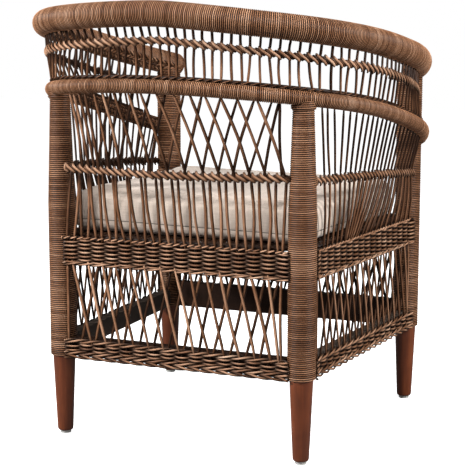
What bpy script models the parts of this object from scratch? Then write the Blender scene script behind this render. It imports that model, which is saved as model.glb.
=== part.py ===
"""Woven tub armchair: turned posts bound with cane, two bent rails, lattice panels and a loose cushion.

Metres, +Z up, the chair faces -Y and the sitter's right is -X. The origin is on the floor below the middle.
"""

import math

import bmesh
import bpy
import numpy as np
from mathutils import Matrix, Vector
from mathutils.bvhtree import BVHTree

for old in list(bpy.data.objects):
    bpy.data.objects.remove(old, do_unlink=True)

# Clearances
GAP = 0.0003            # between pieces that touch
END_GAP = 0.0006        # from a strand's end to the piece it meets
WRAP_GAP = 0.0014       # from a flat-sided piece to a round binding

# Posts
BACK_X = 0.231          # half the spacing of the back posts
BACK_Y = 0.2213
FRONT_X = 0.2605        # half the spacing of the front posts
FRONT_Y = -0.2677
POST_SIDES = 16
FOOT_R = 0.0135         # radius of the foot at the glide
FOOT_CHAMFER = 0.0008
FOOT_CHAMFER_H = 0.0040
FOOT_TOP_R = 0.0202     # radius of the foot where the binding starts
FOOT_TOP_Z = 0.146
BIND_R = 0.0247         # outside radius of the bound post
BIND_T = 0.0042         # thickness of the binding
BIND_EDGE = 0.0010      # the first turn is drawn in by this much
BIND_EDGE_H = 0.0030
BIND_RUN = 0.0060       # height over which the post reaches its size under the binding
BACK_TAPER_Z = 0.425    # the back posts thin above this height
BACK_NECK_R = 0.0187    # outside radius of the bound neck under the lower rail
BACK_NECK_H = 0.0040    # straight length of that neck
COLLAR_R = 0.0216       # last turns of the binding
COLLAR_H = 0.0045
COLLAR_STEP = 0.0020
BACK_CROWN = 0.0040     # a back post's top below the middle of the lower rail
FRONT_CROWN = 0.0120    # a front post's top below the middle of the top rail

# Glides under the feet
GLIDE_H = 0.006
GLIDE_R = 0.0100
GLIDE_EDGE = 0.0010
NAIL_R = 0.0016
NAIL_L = 0.0140
NAIL_SIDES = 12

# Bent lines: side, widest and rear are measured from the back posts, end_x and end_y from the front posts,
# and left_lift is how far the left bend stands above the right one
LOW_END_Z = 0.5196      # middle of the lower rail at its front ends and at the back
LOW_BACK_Z = 0.6362
RAIL_SPACE_END = 0.1339     # from the lower rail's middle up to the top rail's
RAIL_SPACE_BACK = 0.1210
BRAID_SHARE_END = 0.576     # share of that space at which the gallery braid runs
BRAID_SHARE_BACK = 0.642
TOP_RAIL = dict(side=0.0890, widest=-0.2815, rear=0.0775, square=3.0, end_x=-0.0005, end_y=-0.0285, rise=1.22,
                left_lift=0.0165, back_r=0.0218, end_r=0.0240)
LOW_RAIL = dict(side=0.0798, widest=-0.3495, rear=0.0608, square=3.45, end_x=0.0115, end_y=-0.0311, rise=1.70,
                left_lift=0.0100, back_r=0.0127, end_r=0.0150)
BRAID_LINE = dict(side=0.0903, widest=-0.2490, rear=0.0650, square=2.8, end_x=0.0085, end_y=-0.0075)
RAIL_RINGS = 34
RAIL_SIDES = 12
THICK_SHARE = 0.6       # share of a rail's half length over which its front end thickens
END_DOME = 0.58         # length of a rail's blunt end as a share of its radius
END_BLUNT = 0.6         # how slowly the end draws in: 1 is a half ellipse

# Dowels and pins
DOWEL_R = 0.0050
DOWEL_DOWN = 0.0300     # length below the rail
DOWEL_RISE = 0.30       # share of the rail's radius by which a dowel passes its middle
PIN_R = 0.0040
PIN_IN = 0.0060         # where a pin starts, from the post's axis
PIN_RISE = 0.45
DOWEL_SIDES = 12

# Strands and braids
STRAND = 0.0042         # width of a lattice strand
LAYER = 0.36            # each crossing layer's depth from the middle, as a share of the strand
BRAID_H = 0.0110
BRAID_D = 0.0070
BRAID_OUT = 0.0140      # braids of the panels from the line between the posts
LATTICE_OUT = 0.0145    # strands of the panels from the same line
TWINE = 0.0060          # twine that lies on the lower rail
POST_CLEAR = 0.0060     # first strand of a panel from the binding
GALLERY_START = 0.100   # share of the bend's half length before the first gallery strand
GALLERY_PITCH = 0.0300
BACK_PITCH = 0.0300     # spacing of the crossing pairs in the back
BACK_OVER = 0.0100      # how much further than that a crossing strand drifts on its way down
BACK_BOW = 0.0120       # how far the back braid bows outwards
MID_PITCH = 0.0270      # spacing of the upright strands under the back braid
SIDE_PITCH = 0.0200
SIDE_CLEAR = 0.0120
SIDE_BULGE = 0.0140     # how far the side braids bow outwards
SIDE_BULGE_POWER = 0.8
SIDE_LEAN = 0.0390      # how far the side strands lean back on their way up to the rail
LOWER_PITCH = 0.0340    # spacing of the crossing strands below the seat
LOWER_OVER = 0.0020     # how much further than that a strand drifts on its way down

# Levels
BASE_Z = 0.147
BASE_BAND_H = 0.035
FRONT_RISE = 0.0170     # how much taller the front's base band and board are
SEAT_Z = 0.316
SEAT_BAND_H = 0.051
BAND_OUT = 0.0195       # outer face of a band from the line between the posts
BAND_T = 0.0100
BAND_EDGE = 0.0025
MID_Z = 0.4860          # middle braid on the back
SIDE_MID_BACK = 0.4830  # middle braid on the sides, at the back and at the front
SIDE_MID_FRONT = 0.4530
SIDE_MID_POWER = 1.5

# Frame boards with tenons into the posts, bearers and seat panel
BOARD_OUT = 0.0080
BOARD_T = 0.0180
BOARD_RISE = 0.0010     # a board's underside above the band's
SEAT_STEP = 0.0050      # a seat board's top below the band's
TENON_INSET = 0.0060
BEARER_X = 0.085
BEARER_W = 0.0220
BEARER_H = 0.0316
BEARER_TONGUE = 0.0080
DECK_T = 0.0080
DECK_CORNER = 1.45      # length of the cut corner for each unit of clearance round a post

# Cushion
CUSHION_BACK_IN = 0.0015    # the sides of the cushion, in from the posts' axes
CUSHION_FRONT_IN = 0.0185
CUSHION_REAR_IN = 0.0230
CUSHION_CORNER = 0.045      # at the front
CUSHION_BACK_CORNER = 0.022
CUSHION_LEAST_CORNER = 0.012    # at the crown
CUSHION_H = 0.0740
COVER_T = 0.0016
# Inset as a share of the corner and height as a share of the whole, from the underside to the crown
CUSHION_FORM = ((1.11, 0.0), (0.36, 0.016), (0.11, 0.081), (0.05, 0.176), (0.05, 0.203), (0.0, 0.351),
                (0.033, 0.581), (0.22, 0.784), (0.71, 0.905), (1.89, 0.980))
ZIP_ROW = 3             # the row above this ring is open along the back
ZIP_SPAN = (3, 7)

# Derived levels and places
UP = Vector((0, 0, 1))
BACK_SHIFT = BACK_PITCH + BACK_OVER
LOWER_SHIFT = LOWER_PITCH + LOWER_OVER
BASE_TOP = BASE_Z + BASE_BAND_H
SEAT_TOP = SEAT_Z + SEAT_BAND_H
BASE_BOARD_H = BASE_BAND_H - BOARD_RISE
SEAT_BOARD_H = SEAT_BAND_H - BOARD_RISE - SEAT_STEP
BASE_BOARD = (BASE_Z + BOARD_RISE, BASE_Z + BOARD_RISE + BASE_BOARD_H)
SEAT_BOARD = (SEAT_Z + BOARD_RISE, SEAT_Z + BOARD_RISE + SEAT_BOARD_H)
BOARD_IN = BOARD_OUT - BOARD_T
TENON_IN = WRAP_GAP - BOARD_IN          # where a tenon stops, clear of the one that crosses it in the post
BEARER_TOP = SEAT_BOARD[1] - GAP
DECK_Z = SEAT_BOARD[1] + GAP
DECK_OVER = BOARD_OUT - END_GAP         # the panel's edge from the line between the posts
DECK_CUT = DECK_CORNER * (BIND_R + WRAP_GAP) + 2 * DECK_OVER
CUSHION_Z = DECK_Z + DECK_T + GAP
CUSHION_BACK = BACK_X - CUSHION_BACK_IN
CUSHION_FRONT = FRONT_X - CUSHION_FRONT_IN
CUSHION_Y = (FRONT_Y, BACK_Y - CUSHION_REAR_IN)
POSTS = {
    "back_left": Vector((BACK_X, BACK_Y, 0)),
    "back_right": Vector((-BACK_X, BACK_Y, 0)),
    "front_left": Vector((FRONT_X, FRONT_Y, 0)),
    "front_right": Vector((-FRONT_X, FRONT_Y, 0)),
}
# Each side runs from its first post to its second, to the right as seen from outside
SIDES = {
    "back": ("back_left", "back_right"),
    "right": ("back_right", "front_right"),
    "front": ("front_right", "front_left"),
    "left": ("front_left", "back_left"),
}

chair = bpy.data.collections.new("woven_tub_armchair")
bpy.context.scene.collection.children.link(chair)
cutters = bpy.data.collections.new("cutters")
bpy.context.scene.collection.children.link(cutters)


def material(name, rgb, rough):
    m = bpy.data.materials.new(name)
    m.use_nodes = True
    shader = m.node_tree.nodes["Principled BSDF"]
    shader.inputs["Base Color"].default_value = (*rgb, 1)
    shader.inputs["Roughness"].default_value = rough
    shader.inputs["Metallic"].default_value = 0
    return m


CANE = material("cane_binding", (0.23, 0.115, 0.06), 0.5)
STRANDS = material("cane_strands", (0.26, 0.13, 0.065), 0.5)
WEAVE = material("woven_cane", (0.17, 0.08, 0.04), 0.55)
WOOD = material("turned_wood", (0.14, 0.045, 0.018), 0.4)
BOARD = material("dark_board", (0.03, 0.016, 0.01), 0.7)
GLIDE = material("glide_plastic", (0.5, 0.5, 0.48), 0.6)
LINEN = material("linen_cover", (0.6, 0.54, 0.47), 0.9)
FOAM = material("seat_foam", (0.75, 0.68, 0.5), 0.9)
DOWEL = material("dowel_wood", (0.45, 0.3, 0.17), 0.6)
joined = set()          # names of the pieces that a boolean has changed


def place(name, bm, mat=None, smooth=False):
    """A mesh object from bm, in the chair when it has a material and among the cutters when it has none."""
    bmesh.ops.recalc_face_normals(bm, faces=bm.faces)
    mesh = bpy.data.meshes.new(name)
    bm.to_mesh(mesh)
    bm.free()
    if smooth:
        mesh.shade_smooth()
        mesh.set_sharp_from_angle(angle=math.radians(40))
    o = bpy.data.objects.new(name, mesh)
    if mat is None:
        cutters.objects.link(o)
        o.hide_render = True
        o.display_type = "WIRE"
    else:
        mesh.materials.append(mat)
        chair.objects.link(o)
    return o


def combine(target, tool, how):
    """Applies one exact boolean to target and keeps only the result."""
    mod = target.modifiers.new(how.lower(), "BOOLEAN")
    mod.operation = how
    mod.solver = "EXACT"
    mod.object = tool
    mesh = bpy.data.meshes.new_from_object(target.evaluated_get(bpy.context.evaluated_depsgraph_get()))
    target.modifiers.remove(mod)
    target.data = mesh
    bm = bmesh.new()
    bm.from_mesh(mesh)
    bmesh.ops.remove_doubles(bm, verts=bm.verts, dist=0.00002)
    bmesh.ops.dissolve_degenerate(bm, edges=bm.edges, dist=0.00002)
    bmesh.ops.triangulate(bm, faces=bm.faces)
    bm.to_mesh(mesh)
    bm.free()
    joined.add(target.name)


def settle(o):
    """Joins the flat triangles that the booleans leave."""
    bm = bmesh.new()
    bm.from_mesh(o.data)
    bmesh.ops.dissolve_limit(bm, angle_limit=0.002, verts=bm.verts, edges=bm.edges)
    bmesh.ops.triangulate(bm, faces=bm.faces)
    bm.to_mesh(o.data)
    bm.free()


def lathe(profile, centre, sides, loop=False):
    """Turns (radius, height) pairs round a vertical axis. An open profile is closed at the axis."""
    if not loop:
        profile = [(0, profile[0][1])] + profile + [(0, profile[-1][1])]
    bm = bmesh.new()
    half = math.pi / sides
    start = Vector((math.cos(half), math.sin(half), 0))
    verts = [bm.verts.new(centre + start * r + UP * z) for r, z in profile]
    edges = [bm.edges.new(pair) for pair in zip(verts, verts[1:])]
    if loop:
        edges.append(bm.edges.new((verts[-1], verts[0])))
    bmesh.ops.spin(bm, geom=verts + edges, cent=centre, axis=UP, angle=2 * math.pi, steps=sides)
    bmesh.ops.remove_doubles(bm, verts=bm.verts, dist=0.00001)
    return bm


def plate(outline, depth, bm=None):
    """A flat outline given a thickness, added to bm where there is one."""
    bm = bm or bmesh.new()
    face = bm.faces.new([bm.verts.new(p) for p in outline])
    moved = bmesh.ops.extrude_face_region(bm, geom=[face])["geom"]
    bmesh.ops.translate(bm, vec=depth, verts=[v for v in moved if isinstance(v, bmesh.types.BMVert)])
    return bm


def rod(p0, p1, r, sides):
    """A straight round rod."""
    turn = (p1 - p0).to_track_quat("Z", "Y").to_matrix().to_4x4()
    bm = bmesh.new()
    bmesh.ops.create_cone(bm, cap_ends=True, segments=sides, radius1=r, radius2=r, depth=(p1 - p0).length,
                          matrix=Matrix.Translation((p0 + p1) / 2) @ turn)
    return bm


def square(centre, u, n, width):
    """Corners of a strand's square section."""
    h = width / 2
    return [centre + u * (h * i) + n * (h * j) for i, j in ((-1, -1), (1, -1), (1, 1), (-1, 1))]


def strands(items, u, n):
    """Straight square strands, each between two points, in one mesh."""
    bm = bmesh.new()
    for p0, p1 in items:
        plate(square(p0, u, n, STRAND), p1 - p0, bm)
    return bm


class Bend:
    """A horseshoe in plan, with its height given by a function of the way round."""

    def __init__(self, q, height):
        self.q = q
        self.height = height
        a, xe = BACK_X + q["side"], FRONT_X + q["end_x"]
        y0, yb, ye = BACK_Y + q["widest"], BACK_Y + q["rear"], FRONT_Y + q["end_y"]
        t = np.linspace(0, 1, 300)
        th = np.linspace(0, math.pi / 2, 1200)
        back_x = a * np.cos(th) ** (2 / q["square"])
        back_x[-1] = 0
        back_y = y0 + (yb - y0) * np.sin(th) ** (2 / q["square"])
        self.x = np.concatenate([a - (a - xe) * (1 - t) ** 2, back_x[1:]])
        self.y = np.concatenate([ye + (y0 - ye) * t, back_y[1:]])
        self.s = np.concatenate([[0], np.cumsum(np.hypot(np.diff(self.x), np.diff(self.y)))])
        self.half = float(self.s[-1])

    def point(self, w):
        """w runs from 0 at the right front end through 1 at the back to 2 at the left front end."""
        u = min(w, 2 - w)
        x = float(np.interp(u * self.half, self.s, self.x))
        y = float(np.interp(u * self.half, self.s, self.y))
        return Vector((-x if w <= 1 else x, y, self.height(w)))

    def radius(self, w):
        k = max(0.0, 1 - min(w, 2 - w) / THICK_SHARE)
        return self.q["back_r"] + (self.q["end_r"] - self.q["back_r"]) * k

    def tangent(self, w):
        step = 0.004
        return (self.point(min(2, w + step)) - self.point(max(0, w - step))).normalized()

    def outward(self, w):
        """Horizontal and square to the bend, away from the seat."""
        t = self.tangent(w)
        return Vector((-t.y, t.x, 0)).normalized()

    def nearest(self, spot, lo, hi):
        """The place between lo and hi that lies nearest to a spot in plan."""
        return float(min(np.linspace(lo, hi, 400), key=lambda w: (self.point(w).xy - spot.xy).length))


def pole(bend, grow=0.0):
    """A round pole along a bend with blunt ends, from a bevelled curve."""
    spots = [(bend.point(w), bend.radius(w) + grow) for w in np.linspace(0, 2, RAIL_RINGS)]
    for end, way in ((0, -1), (2, 1)):
        c, r = spots[0] if end == 0 else spots[-1]
        t = bend.tangent(end) * way
        dome = [(c + t * (r * END_DOME * math.sin(a)), r * math.cos(a) ** END_BLUNT) for a in (0.6, 1.1, 1.4)]
        spots = dome[::-1] + spots if end == 0 else spots + dome
    curve = bpy.data.curves.new("pole", "CURVE")
    curve.dimensions = "3D"
    curve.twist_mode = "Z_UP"
    curve.bevel_depth = 1.0
    curve.bevel_resolution = RAIL_SIDES // 2 - 2
    curve.use_fill_caps = True
    spline = curve.splines.new("POLY")
    spline.points.add(len(spots) - 1)
    for point, (c, r) in zip(spline.points, spots):
        point.co = (*c, 1)
        point.radius = r
    guide = bpy.data.objects.new("pole", curve)
    cutters.objects.link(guide)
    mesh = bpy.data.meshes.new_from_object(guide.evaluated_get(bpy.context.evaluated_depsgraph_get()))
    bpy.data.objects.remove(guide)
    bm = bmesh.new()
    bm.from_mesh(mesh)
    bmesh.ops.remove_doubles(bm, verts=bm.verts, dist=0.00001)
    return bm


class Side:
    """The plane between two posts: s to the right as seen from outside, off outwards, z up."""

    def __init__(self, name):
        first, second = SIDES[name]
        self.a = POSTS[first]
        self.b = POSTS[second]
        self.length = (self.b - self.a).length
        self.u = (self.b - self.a).normalized()
        self.n = self.u.cross(UP)
        if self.n.dot(self.a + self.b) < 0:
            self.n = -self.n
        rise = FRONT_RISE if name == "front" else 0.0
        self.base_top = BASE_TOP + rise
        self.boards = {"seat_rail": SEAT_BOARD, "base_rail": (BASE_BOARD[0], BASE_BOARD[1] + rise)}
        self.bands = {"seat_band": (SEAT_Z, SEAT_TOP), "base_band": (BASE_Z, self.base_top)}

    def at(self, s, off, z):
        return self.a + self.u * s + self.n * off + UP * z


def rail_z(rail, w, back_z, end_z):
    """A rail's height, from its ends up to the back, with its left bend lifted."""
    drop = (back_z - end_z) * abs(1 - w) ** rail["rise"]
    return back_z - drop + rail["left_lift"] * math.sin(math.pi * max(0.0, w - 1))


def low_z(w):
    return rail_z(LOW_RAIL, w, LOW_BACK_Z, LOW_END_Z)


def top_z(w):
    return rail_z(TOP_RAIL, w, LOW_BACK_Z + RAIL_SPACE_BACK, LOW_END_Z + RAIL_SPACE_END)


def braid_z(w):
    share = BRAID_SHARE_END + (BRAID_SHARE_BACK - BRAID_SHARE_END) * min(w, 2 - w) ** 3
    return low_z(w) + (top_z(w) - low_z(w)) * share


top = Bend(TOP_RAIL, top_z)
low = Bend(LOW_RAIL, low_z)
gallery_line = Bend(BRAID_LINE, braid_z)
planes = {key: Side(key) for key in SIDES}
skins = {}              # the rails' surfaces, on which strands end


def seat_on(bend, start, w, u, n):
    """Where a square strand from start towards place w of a rail stops, just short of the rail."""
    way = (bend.point(w) - start).normalized()
    reach = [skins[bend].ray_cast(p, way)[3] for p in [start] + square(start, u, n, STRAND)]
    return start + way * (min(r for r in reach if r is not None) - END_GAP)


def comb(stations, tips, ups, downs, foot=None):
    """A braid with strands that leave it upwards and downwards, as one closed body.

    stations: (centre, along, out) for each strand, and tips the same for the braid's two ends.
    ups and downs: the far end of each strand, or None.
    foot: the stations and tips of a thinner strip that the lower strands run into.
    """
    bm = bmesh.new()
    h = STRAND / 2

    def strip(places, ends, high, deep):
        """Rows of four corners: one at each end, and two for each strand."""
        spots = [ends[0]]
        for c, t, o in places:
            spots += [(c - t * h, t, o), (c + t * h, t, o)]
        spots.append(ends[1])
        rows = []
        for c, t, o in spots:
            v = UP * (high / 2)
            d = o * (deep / 2)
            rows.append([bm.verts.new(p) for p in (c - d - v, c + d - v, c + d + v, c - d + v)])
        return rows

    def skin(rows, open_above, open_below):
        """Faces of a strip, with its top or bottom left open where a strand leaves it."""
        for i, (a, b) in enumerate(zip(rows, rows[1:])):
            k = (i - 1) // 2 if i % 2 else None
            bm.faces.new((a[1], a[2], b[2], b[1]))
            bm.faces.new((a[3], a[0], b[0], b[3]))
            if k is None or not open_above[k]:
                bm.faces.new((a[2], a[3], b[3], b[2]))
            if k is None or not open_below[k]:
                bm.faces.new((a[0], a[1], b[1], b[0]))
        bm.faces.new(rows[0])
        bm.faces.new(rows[-1])

    def pad(rows, k, above):
        a, b = rows[1 + 2 * k], rows[2 + 2 * k]
        return [a[3], a[2], b[2], b[3]] if above else [a[0], a[1], b[1], b[0]]

    def walls(a, b):
        for k in range(4):
            j = (k + 1) % 4
            bm.faces.new((a[k], a[j], b[j], b[k]))

    count = len(stations)
    rows = strip(stations, tips, BRAID_H, BRAID_D)
    skin(rows, [far is not None for far in ups], [foot is not None or far is not None for far in downs])
    for k, (c, t, o) in enumerate(stations):
        for far, above in ((ups[k], True), (downs[k], False)):
            if far is not None:
                tip = [bm.verts.new(p) for p in square(far, o, t, STRAND)]
                walls(pad(rows, k, above), tip)
                bm.faces.new(tip)
    if foot:
        lower = strip(*foot, TWINE, TWINE)
        skin(lower, [True] * count, [False] * count)
        for k in range(count):
            walls(pad(rows, k, False), pad(lower, k, True))
    return bm


# Rails, each a bent pole with its binding, and the room that they take in the posts
for bend in (top, low):
    shape = pole(bend)
    skins[bend] = BVHTree.FromBMesh(shape)
    shape.free()
rail_top = place("top_rail", pole(top), CANE, True)
rail_low = place("lower_rail", pole(low), CANE, True)
top_room = place("cut_top_rail", pole(top, GAP))
low_room = place("cut_lower_rail", pole(low, GAP))

# Dowels from the posts up into the rails
dowels = {}
for name, post in POSTS.items():
    bend = low if post.y > 0 else top
    w = bend.nearest(post, 0, 1) if post.x < 0 else bend.nearest(post, 1, 2)
    over, reach = bend.point(w), bend.radius(w)
    spot = Vector(((post.x + over.x) / 2, (post.y + over.y) / 2, over.z))
    dowels[name] = (spot - UP * (reach + DOWEL_DOWN), spot + UP * (reach * DOWEL_RISE), over, reach)
    place("dowel_" + name, rod(*dowels[name][:2], DOWEL_R, DOWEL_SIDES), DOWEL, True)

# Pins from the front posts into the lower rail's ends
pins = {}
for name in ("front_left", "front_right"):
    post = POSTS[name]
    w = low.nearest(post, 0, 0.3) if post.x < 0 else low.nearest(post, 1.7, 2)
    over = low.point(w)
    out = Vector((over.x - post.x, over.y - post.y, 0))
    base = post + UP * over.z
    way = out.normalized()
    pins[name] = (base + way * PIN_IN, base + out + way * (low.radius(w) * PIN_RISE))
    place("pin_" + name, rod(*pins[name], PIN_R, DOWEL_SIDES), DOWEL, True)

# Posts, their bindings and their glides
meeting = {name: [] for name in POSTS}
for key, (first, second) in SIDES.items():
    meeting[first].append((planes[key], 1))
    meeting[second].append((planes[key], -1))
core = BIND_R - BIND_T
neck = BACK_NECK_R - BIND_T
run_z = FOOT_TOP_Z + BIND_RUN
lip_z = FOOT_TOP_Z + END_GAP
for name, post in POSTS.items():
    foot, head, over, reach = dowels[name]
    back = post.y > 0
    crown = over.z - (BACK_CROWN if back else FRONT_CROWN)
    collar_z = over.z - reach - COLLAR_H
    neck_z = collar_z - COLLAR_STEP - BACK_NECK_H
    glide = [(GLIDE_R - GLIDE_EDGE, 0), (GLIDE_R, GLIDE_EDGE), (GLIDE_R, GLIDE_H - GAP)]
    glide += [(NAIL_R, GLIDE_H - GAP), (NAIL_R, GLIDE_H + NAIL_L)]
    wood = [(FOOT_R, GLIDE_H), (FOOT_R + FOOT_CHAMFER, GLIDE_H + FOOT_CHAMFER_H), (FOOT_TOP_R, FOOT_TOP_Z)]
    wood += [(core - GAP, run_z)]
    inner = [(core, run_z), (FOOT_TOP_R + GAP, lip_z)]
    outer = [(BIND_R - BIND_EDGE, lip_z), (BIND_R, FOOT_TOP_Z + BIND_EDGE_H)]
    if back:
        wood += [(core - GAP, BACK_TAPER_Z), (neck - GAP, neck_z), (neck - GAP, crown)]
        inner = [(neck, crown), (neck, neck_z), (core, BACK_TAPER_Z)] + inner
        outer += [(BIND_R, BACK_TAPER_Z), (BACK_NECK_R, neck_z), (BACK_NECK_R, collar_z - COLLAR_STEP)]
        outer += [(COLLAR_R, collar_z), (COLLAR_R, crown)]
    else:
        wood += [(core - GAP, crown)]
        inner = [(core, crown)] + inner
        outer += [(BIND_R, crown)]
    place("glide_" + name, lathe(glide, post, NAIL_SIDES), GLIDE, True)
    stock = place("post_" + name, lathe(wood, post, POST_SIDES), WOOD, True)
    wrap = place("binding_" + name, lathe(inner + outer, post, POST_SIDES, True), CANE, True)
    rail = rail_low if back else rail_top
    room = low_room if back else top_room
    hole = place("cut_dowel_" + name, rod(foot - UP * GAP, head + UP * GAP, DOWEL_R + GAP, DOWEL_SIDES))
    nail_top = post + UP * (GLIDE_H + NAIL_L + GAP)
    nail = place("cut_nail_" + name, rod(post, nail_top, NAIL_R + GAP, NAIL_SIDES))
    for piece, tools in ((stock, (room, hole, nail)), (wrap, (room,)), (rail, (hole,))):
        for tool in tools:
            combine(piece, tool, "DIFFERENCE")
    for plane, way in meeting[name]:
        for lo, hi in plane.boards.values():
            z = lo + TENON_INSET - GAP
            corners = []
            for s, off in ((TENON_IN, BOARD_IN - GAP), (2 * BIND_R, BOARD_IN - GAP),
                           (2 * BIND_R, BOARD_OUT + GAP), (TENON_IN, BOARD_OUT + GAP)):
                corners.append(post + plane.u * ((s - GAP) * way) + plane.n * off + UP * z)
            slot = place("cut_tenon", plate(corners, UP * (hi - lo - 2 * TENON_INSET + 2 * GAP)))
            combine(stock, slot, "DIFFERENCE")
            combine(wrap, slot, "DIFFERENCE")
    if name in pins:
        p0, p1 = pins[name]
        more = (p1 - p0).normalized() * GAP
        bore = place("cut_pin_" + name, rod(p0 - more, p1 + more, PIN_R + GAP, DOWEL_SIDES))
        for piece in (stock, wrap, rail_low):
            combine(piece, bore, "DIFFERENCE")
        column = [(BIND_R + GAP, p0.z - 2 * BIND_R), (BIND_R + GAP, p0.z + 2 * BIND_R)]
        combine(rail_low, place("cut_column_" + name, lathe(column, post, POST_SIDES)), "DIFFERENCE")

# Boards of the seat frame and of the base frame, with a tenon at each end
for key, plane in planes.items():
    for label, (lo, hi) in plane.boards.items():
        s0, s1 = BIND_R + GAP, plane.length - BIND_R - GAP
        t0, t1 = TENON_IN, plane.length - TENON_IN
        lo_in, hi_in = lo + TENON_INSET, hi - TENON_INSET
        outline = [(s0, lo), (s1, lo), (s1, lo_in), (t1, lo_in), (t1, hi_in), (s1, hi_in)]
        outline += [(s1, hi), (s0, hi), (s0, hi_in), (t0, hi_in), (t0, lo_in), (s0, lo_in)]
        face = [plane.at(s, BOARD_OUT, z) for s, z in outline]
        board = place(label + "_" + key, plate(face, plane.n * -BOARD_T), BOARD)
        if label == "seat_rail" and key in ("front", "back"):
            y = plane.a.y + plane.n.y * BOARD_IN
            z0, z1 = BEARER_TOP - BEARER_H + TENON_INSET - GAP, BEARER_TOP - TENON_INSET + GAP
            half = BEARER_W / 2 + GAP
            for x in (-BEARER_X, BEARER_X):
                x0, x1 = x - half, x + half
                ring = ((x0, z0), (x1, z0), (x1, z1), (x0, z1))
                mouth = [Vector((i, y - plane.n.y * GAP, z)) for i, z in ring]
                depth = Vector((0, plane.n.y * (BEARER_TONGUE + GAP), 0))
                combine(board, place("cut_bearer", plate(mouth, depth)), "DIFFERENCE")

# Bearers under the seat panel, with a tongue at each end
y0 = FRONT_Y - BOARD_IN + GAP
y1 = BACK_Y + BOARD_IN - GAP
lo, hi = BEARER_TOP - BEARER_H, BEARER_TOP
lo_in, hi_in = lo + TENON_INSET, hi - TENON_INSET
t0, t1 = y0 - BEARER_TONGUE, y1 + BEARER_TONGUE
outline = [(y0, lo), (y1, lo), (y1, lo_in), (t1, lo_in), (t1, hi_in), (y1, hi_in)]
outline += [(y1, hi), (y0, hi), (y0, hi_in), (t0, hi_in), (t0, lo_in), (y0, lo_in)]
for label, x in (("right", -BEARER_X), ("left", BEARER_X)):
    face = [Vector((x - BEARER_W / 2, y, z)) for y, z in outline]
    place("seat_bearer_" + label, plate(face, Vector((BEARER_W, 0, 0))), BOARD)

# Seat panel on the boards, with its corners cut back round the posts
bx, by = BACK_X + DECK_OVER, BACK_Y + DECK_OVER
fx, fy = FRONT_X + DECK_OVER, FRONT_Y - DECK_OVER
lean = (fx - bx) / (by - fy) * DECK_CUT
plan = [(bx - DECK_CUT, by), (bx + lean, by - DECK_CUT), (fx - lean, fy + DECK_CUT), (fx - DECK_CUT, fy)]
plan += [(-x, y) for x, y in reversed(plan)]
place("seat_panel", plate([Vector((x, y, DECK_Z)) for x, y in plan], UP * DECK_T), WEAVE)

# Woven bands, mitred to the round posts, with their long edges taken off
band_in = BAND_OUT - BAND_T
wrap_r = BIND_R + WRAP_GAP
for key, plane in planes.items():
    for label, (lo, hi) in plane.bands.items():
        corners = []
        for off, ends in ((band_in, (0, 1)), (BAND_OUT, (1, 0))):
            s = math.sqrt(wrap_r ** 2 - off ** 2)
            corners += [plane.at(plane.length - s if end else s, off, lo) for end in ends]
        bm = plate(corners, UP * (hi - lo))
        rim = [e for e in bm.edges if abs((e.verts[1].co - e.verts[0].co).dot(plane.u)) > plane.length / 2]
        bmesh.ops.bevel(bm, geom=rim, offset=BAND_EDGE, segments=1, affect="EDGES")
        place(label + "_" + key, bm, WEAVE)

# Crossing strands below the seat, the falling ones outside
for key, plane in planes.items():
    z0, z1 = plane.base_top + END_GAP, SEAT_Z - END_GAP
    lo, hi = BIND_R + POST_CLEAR, plane.length - BIND_R - POST_CLEAR
    count = round((hi - lo) / LOWER_PITCH)
    heads = [lo + (hi - lo) * k / count for k in range(count + 1)]
    layers = []
    for way in (1, -1):
        off = LATTICE_OUT + way * LAYER * STRAND
        limit = hi if way > 0 else lo
        rows = []
        for s in heads:
            foot = min(hi, max(lo, s + way * LOWER_SHIFT))
            if foot != limit or s == limit:
                rows.append((plane.at(s, off, z1), plane.at(foot, off, z0)))
        layers.append(strands(rows, plane.u, plane.n))
    net = place("lower_lattice_" + key, layers[0], STRANDS)
    combine(net, place("cut_rising_" + key, layers[1]), "UNION")

# Side panels: strands through the middle braid, from the lower rail down to the seat band
w_corner = low.nearest(POSTS["back_right"], 0.2, 1)
for key in ("right", "left"):
    plane = planes[key]
    length = plane.length

    def side_braid(t):
        """The braid's middle, with t from 0 at the back post to 1 at the front post."""
        s = t * length if key == "right" else (1 - t) * length
        off = BRAID_OUT + SIDE_BULGE * math.sin(math.pi * t) ** SIDE_BULGE_POWER
        return plane.at(s, off, SIDE_MID_BACK + (SIDE_MID_FRONT - SIDE_MID_BACK) * t ** SIDE_MID_POWER)

    first = (BIND_R + SIDE_CLEAR) / length
    last = (BIND_R + WRAP_GAP) / length
    count = round((1 - 2 * first) * length / SIDE_PITCH)
    shares = [first + (1 - 2 * first) * k / count for k in range(count + 1)]
    ends = [last, 1 - last]
    if key == "left":
        shares.reverse()
        ends.reverse()
    places, ups, downs = [], [], []
    for t in shares:
        c = side_braid(t)
        places.append((c, plane.u, plane.n))
        y = c.y + SIDE_LEAN * math.sin(math.pi * t) ** 0.5
        w = float(min(np.linspace(0.02, w_corner, 600), key=lambda v: abs(low.point(v).y - y)))
        ups.append(seat_on(low, c, w if key == "right" else 2 - w, plane.u, plane.n))
        downs.append(plane.at((c - plane.a).dot(plane.u), LATTICE_OUT, SEAT_TOP + END_GAP))
    tips = [(side_braid(t), plane.u, plane.n) for t in ends]
    place("side_panel_" + key, comb(places, tips, ups, downs), STRANDS)

# Back panel: crossing strands above the middle braid, upright ones below it
plane = planes["back"]
length = plane.length


def back_braid(s):
    return plane.at(s, BRAID_OUT + BACK_BOW * math.sin(math.pi * s / length), MID_Z)


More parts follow.
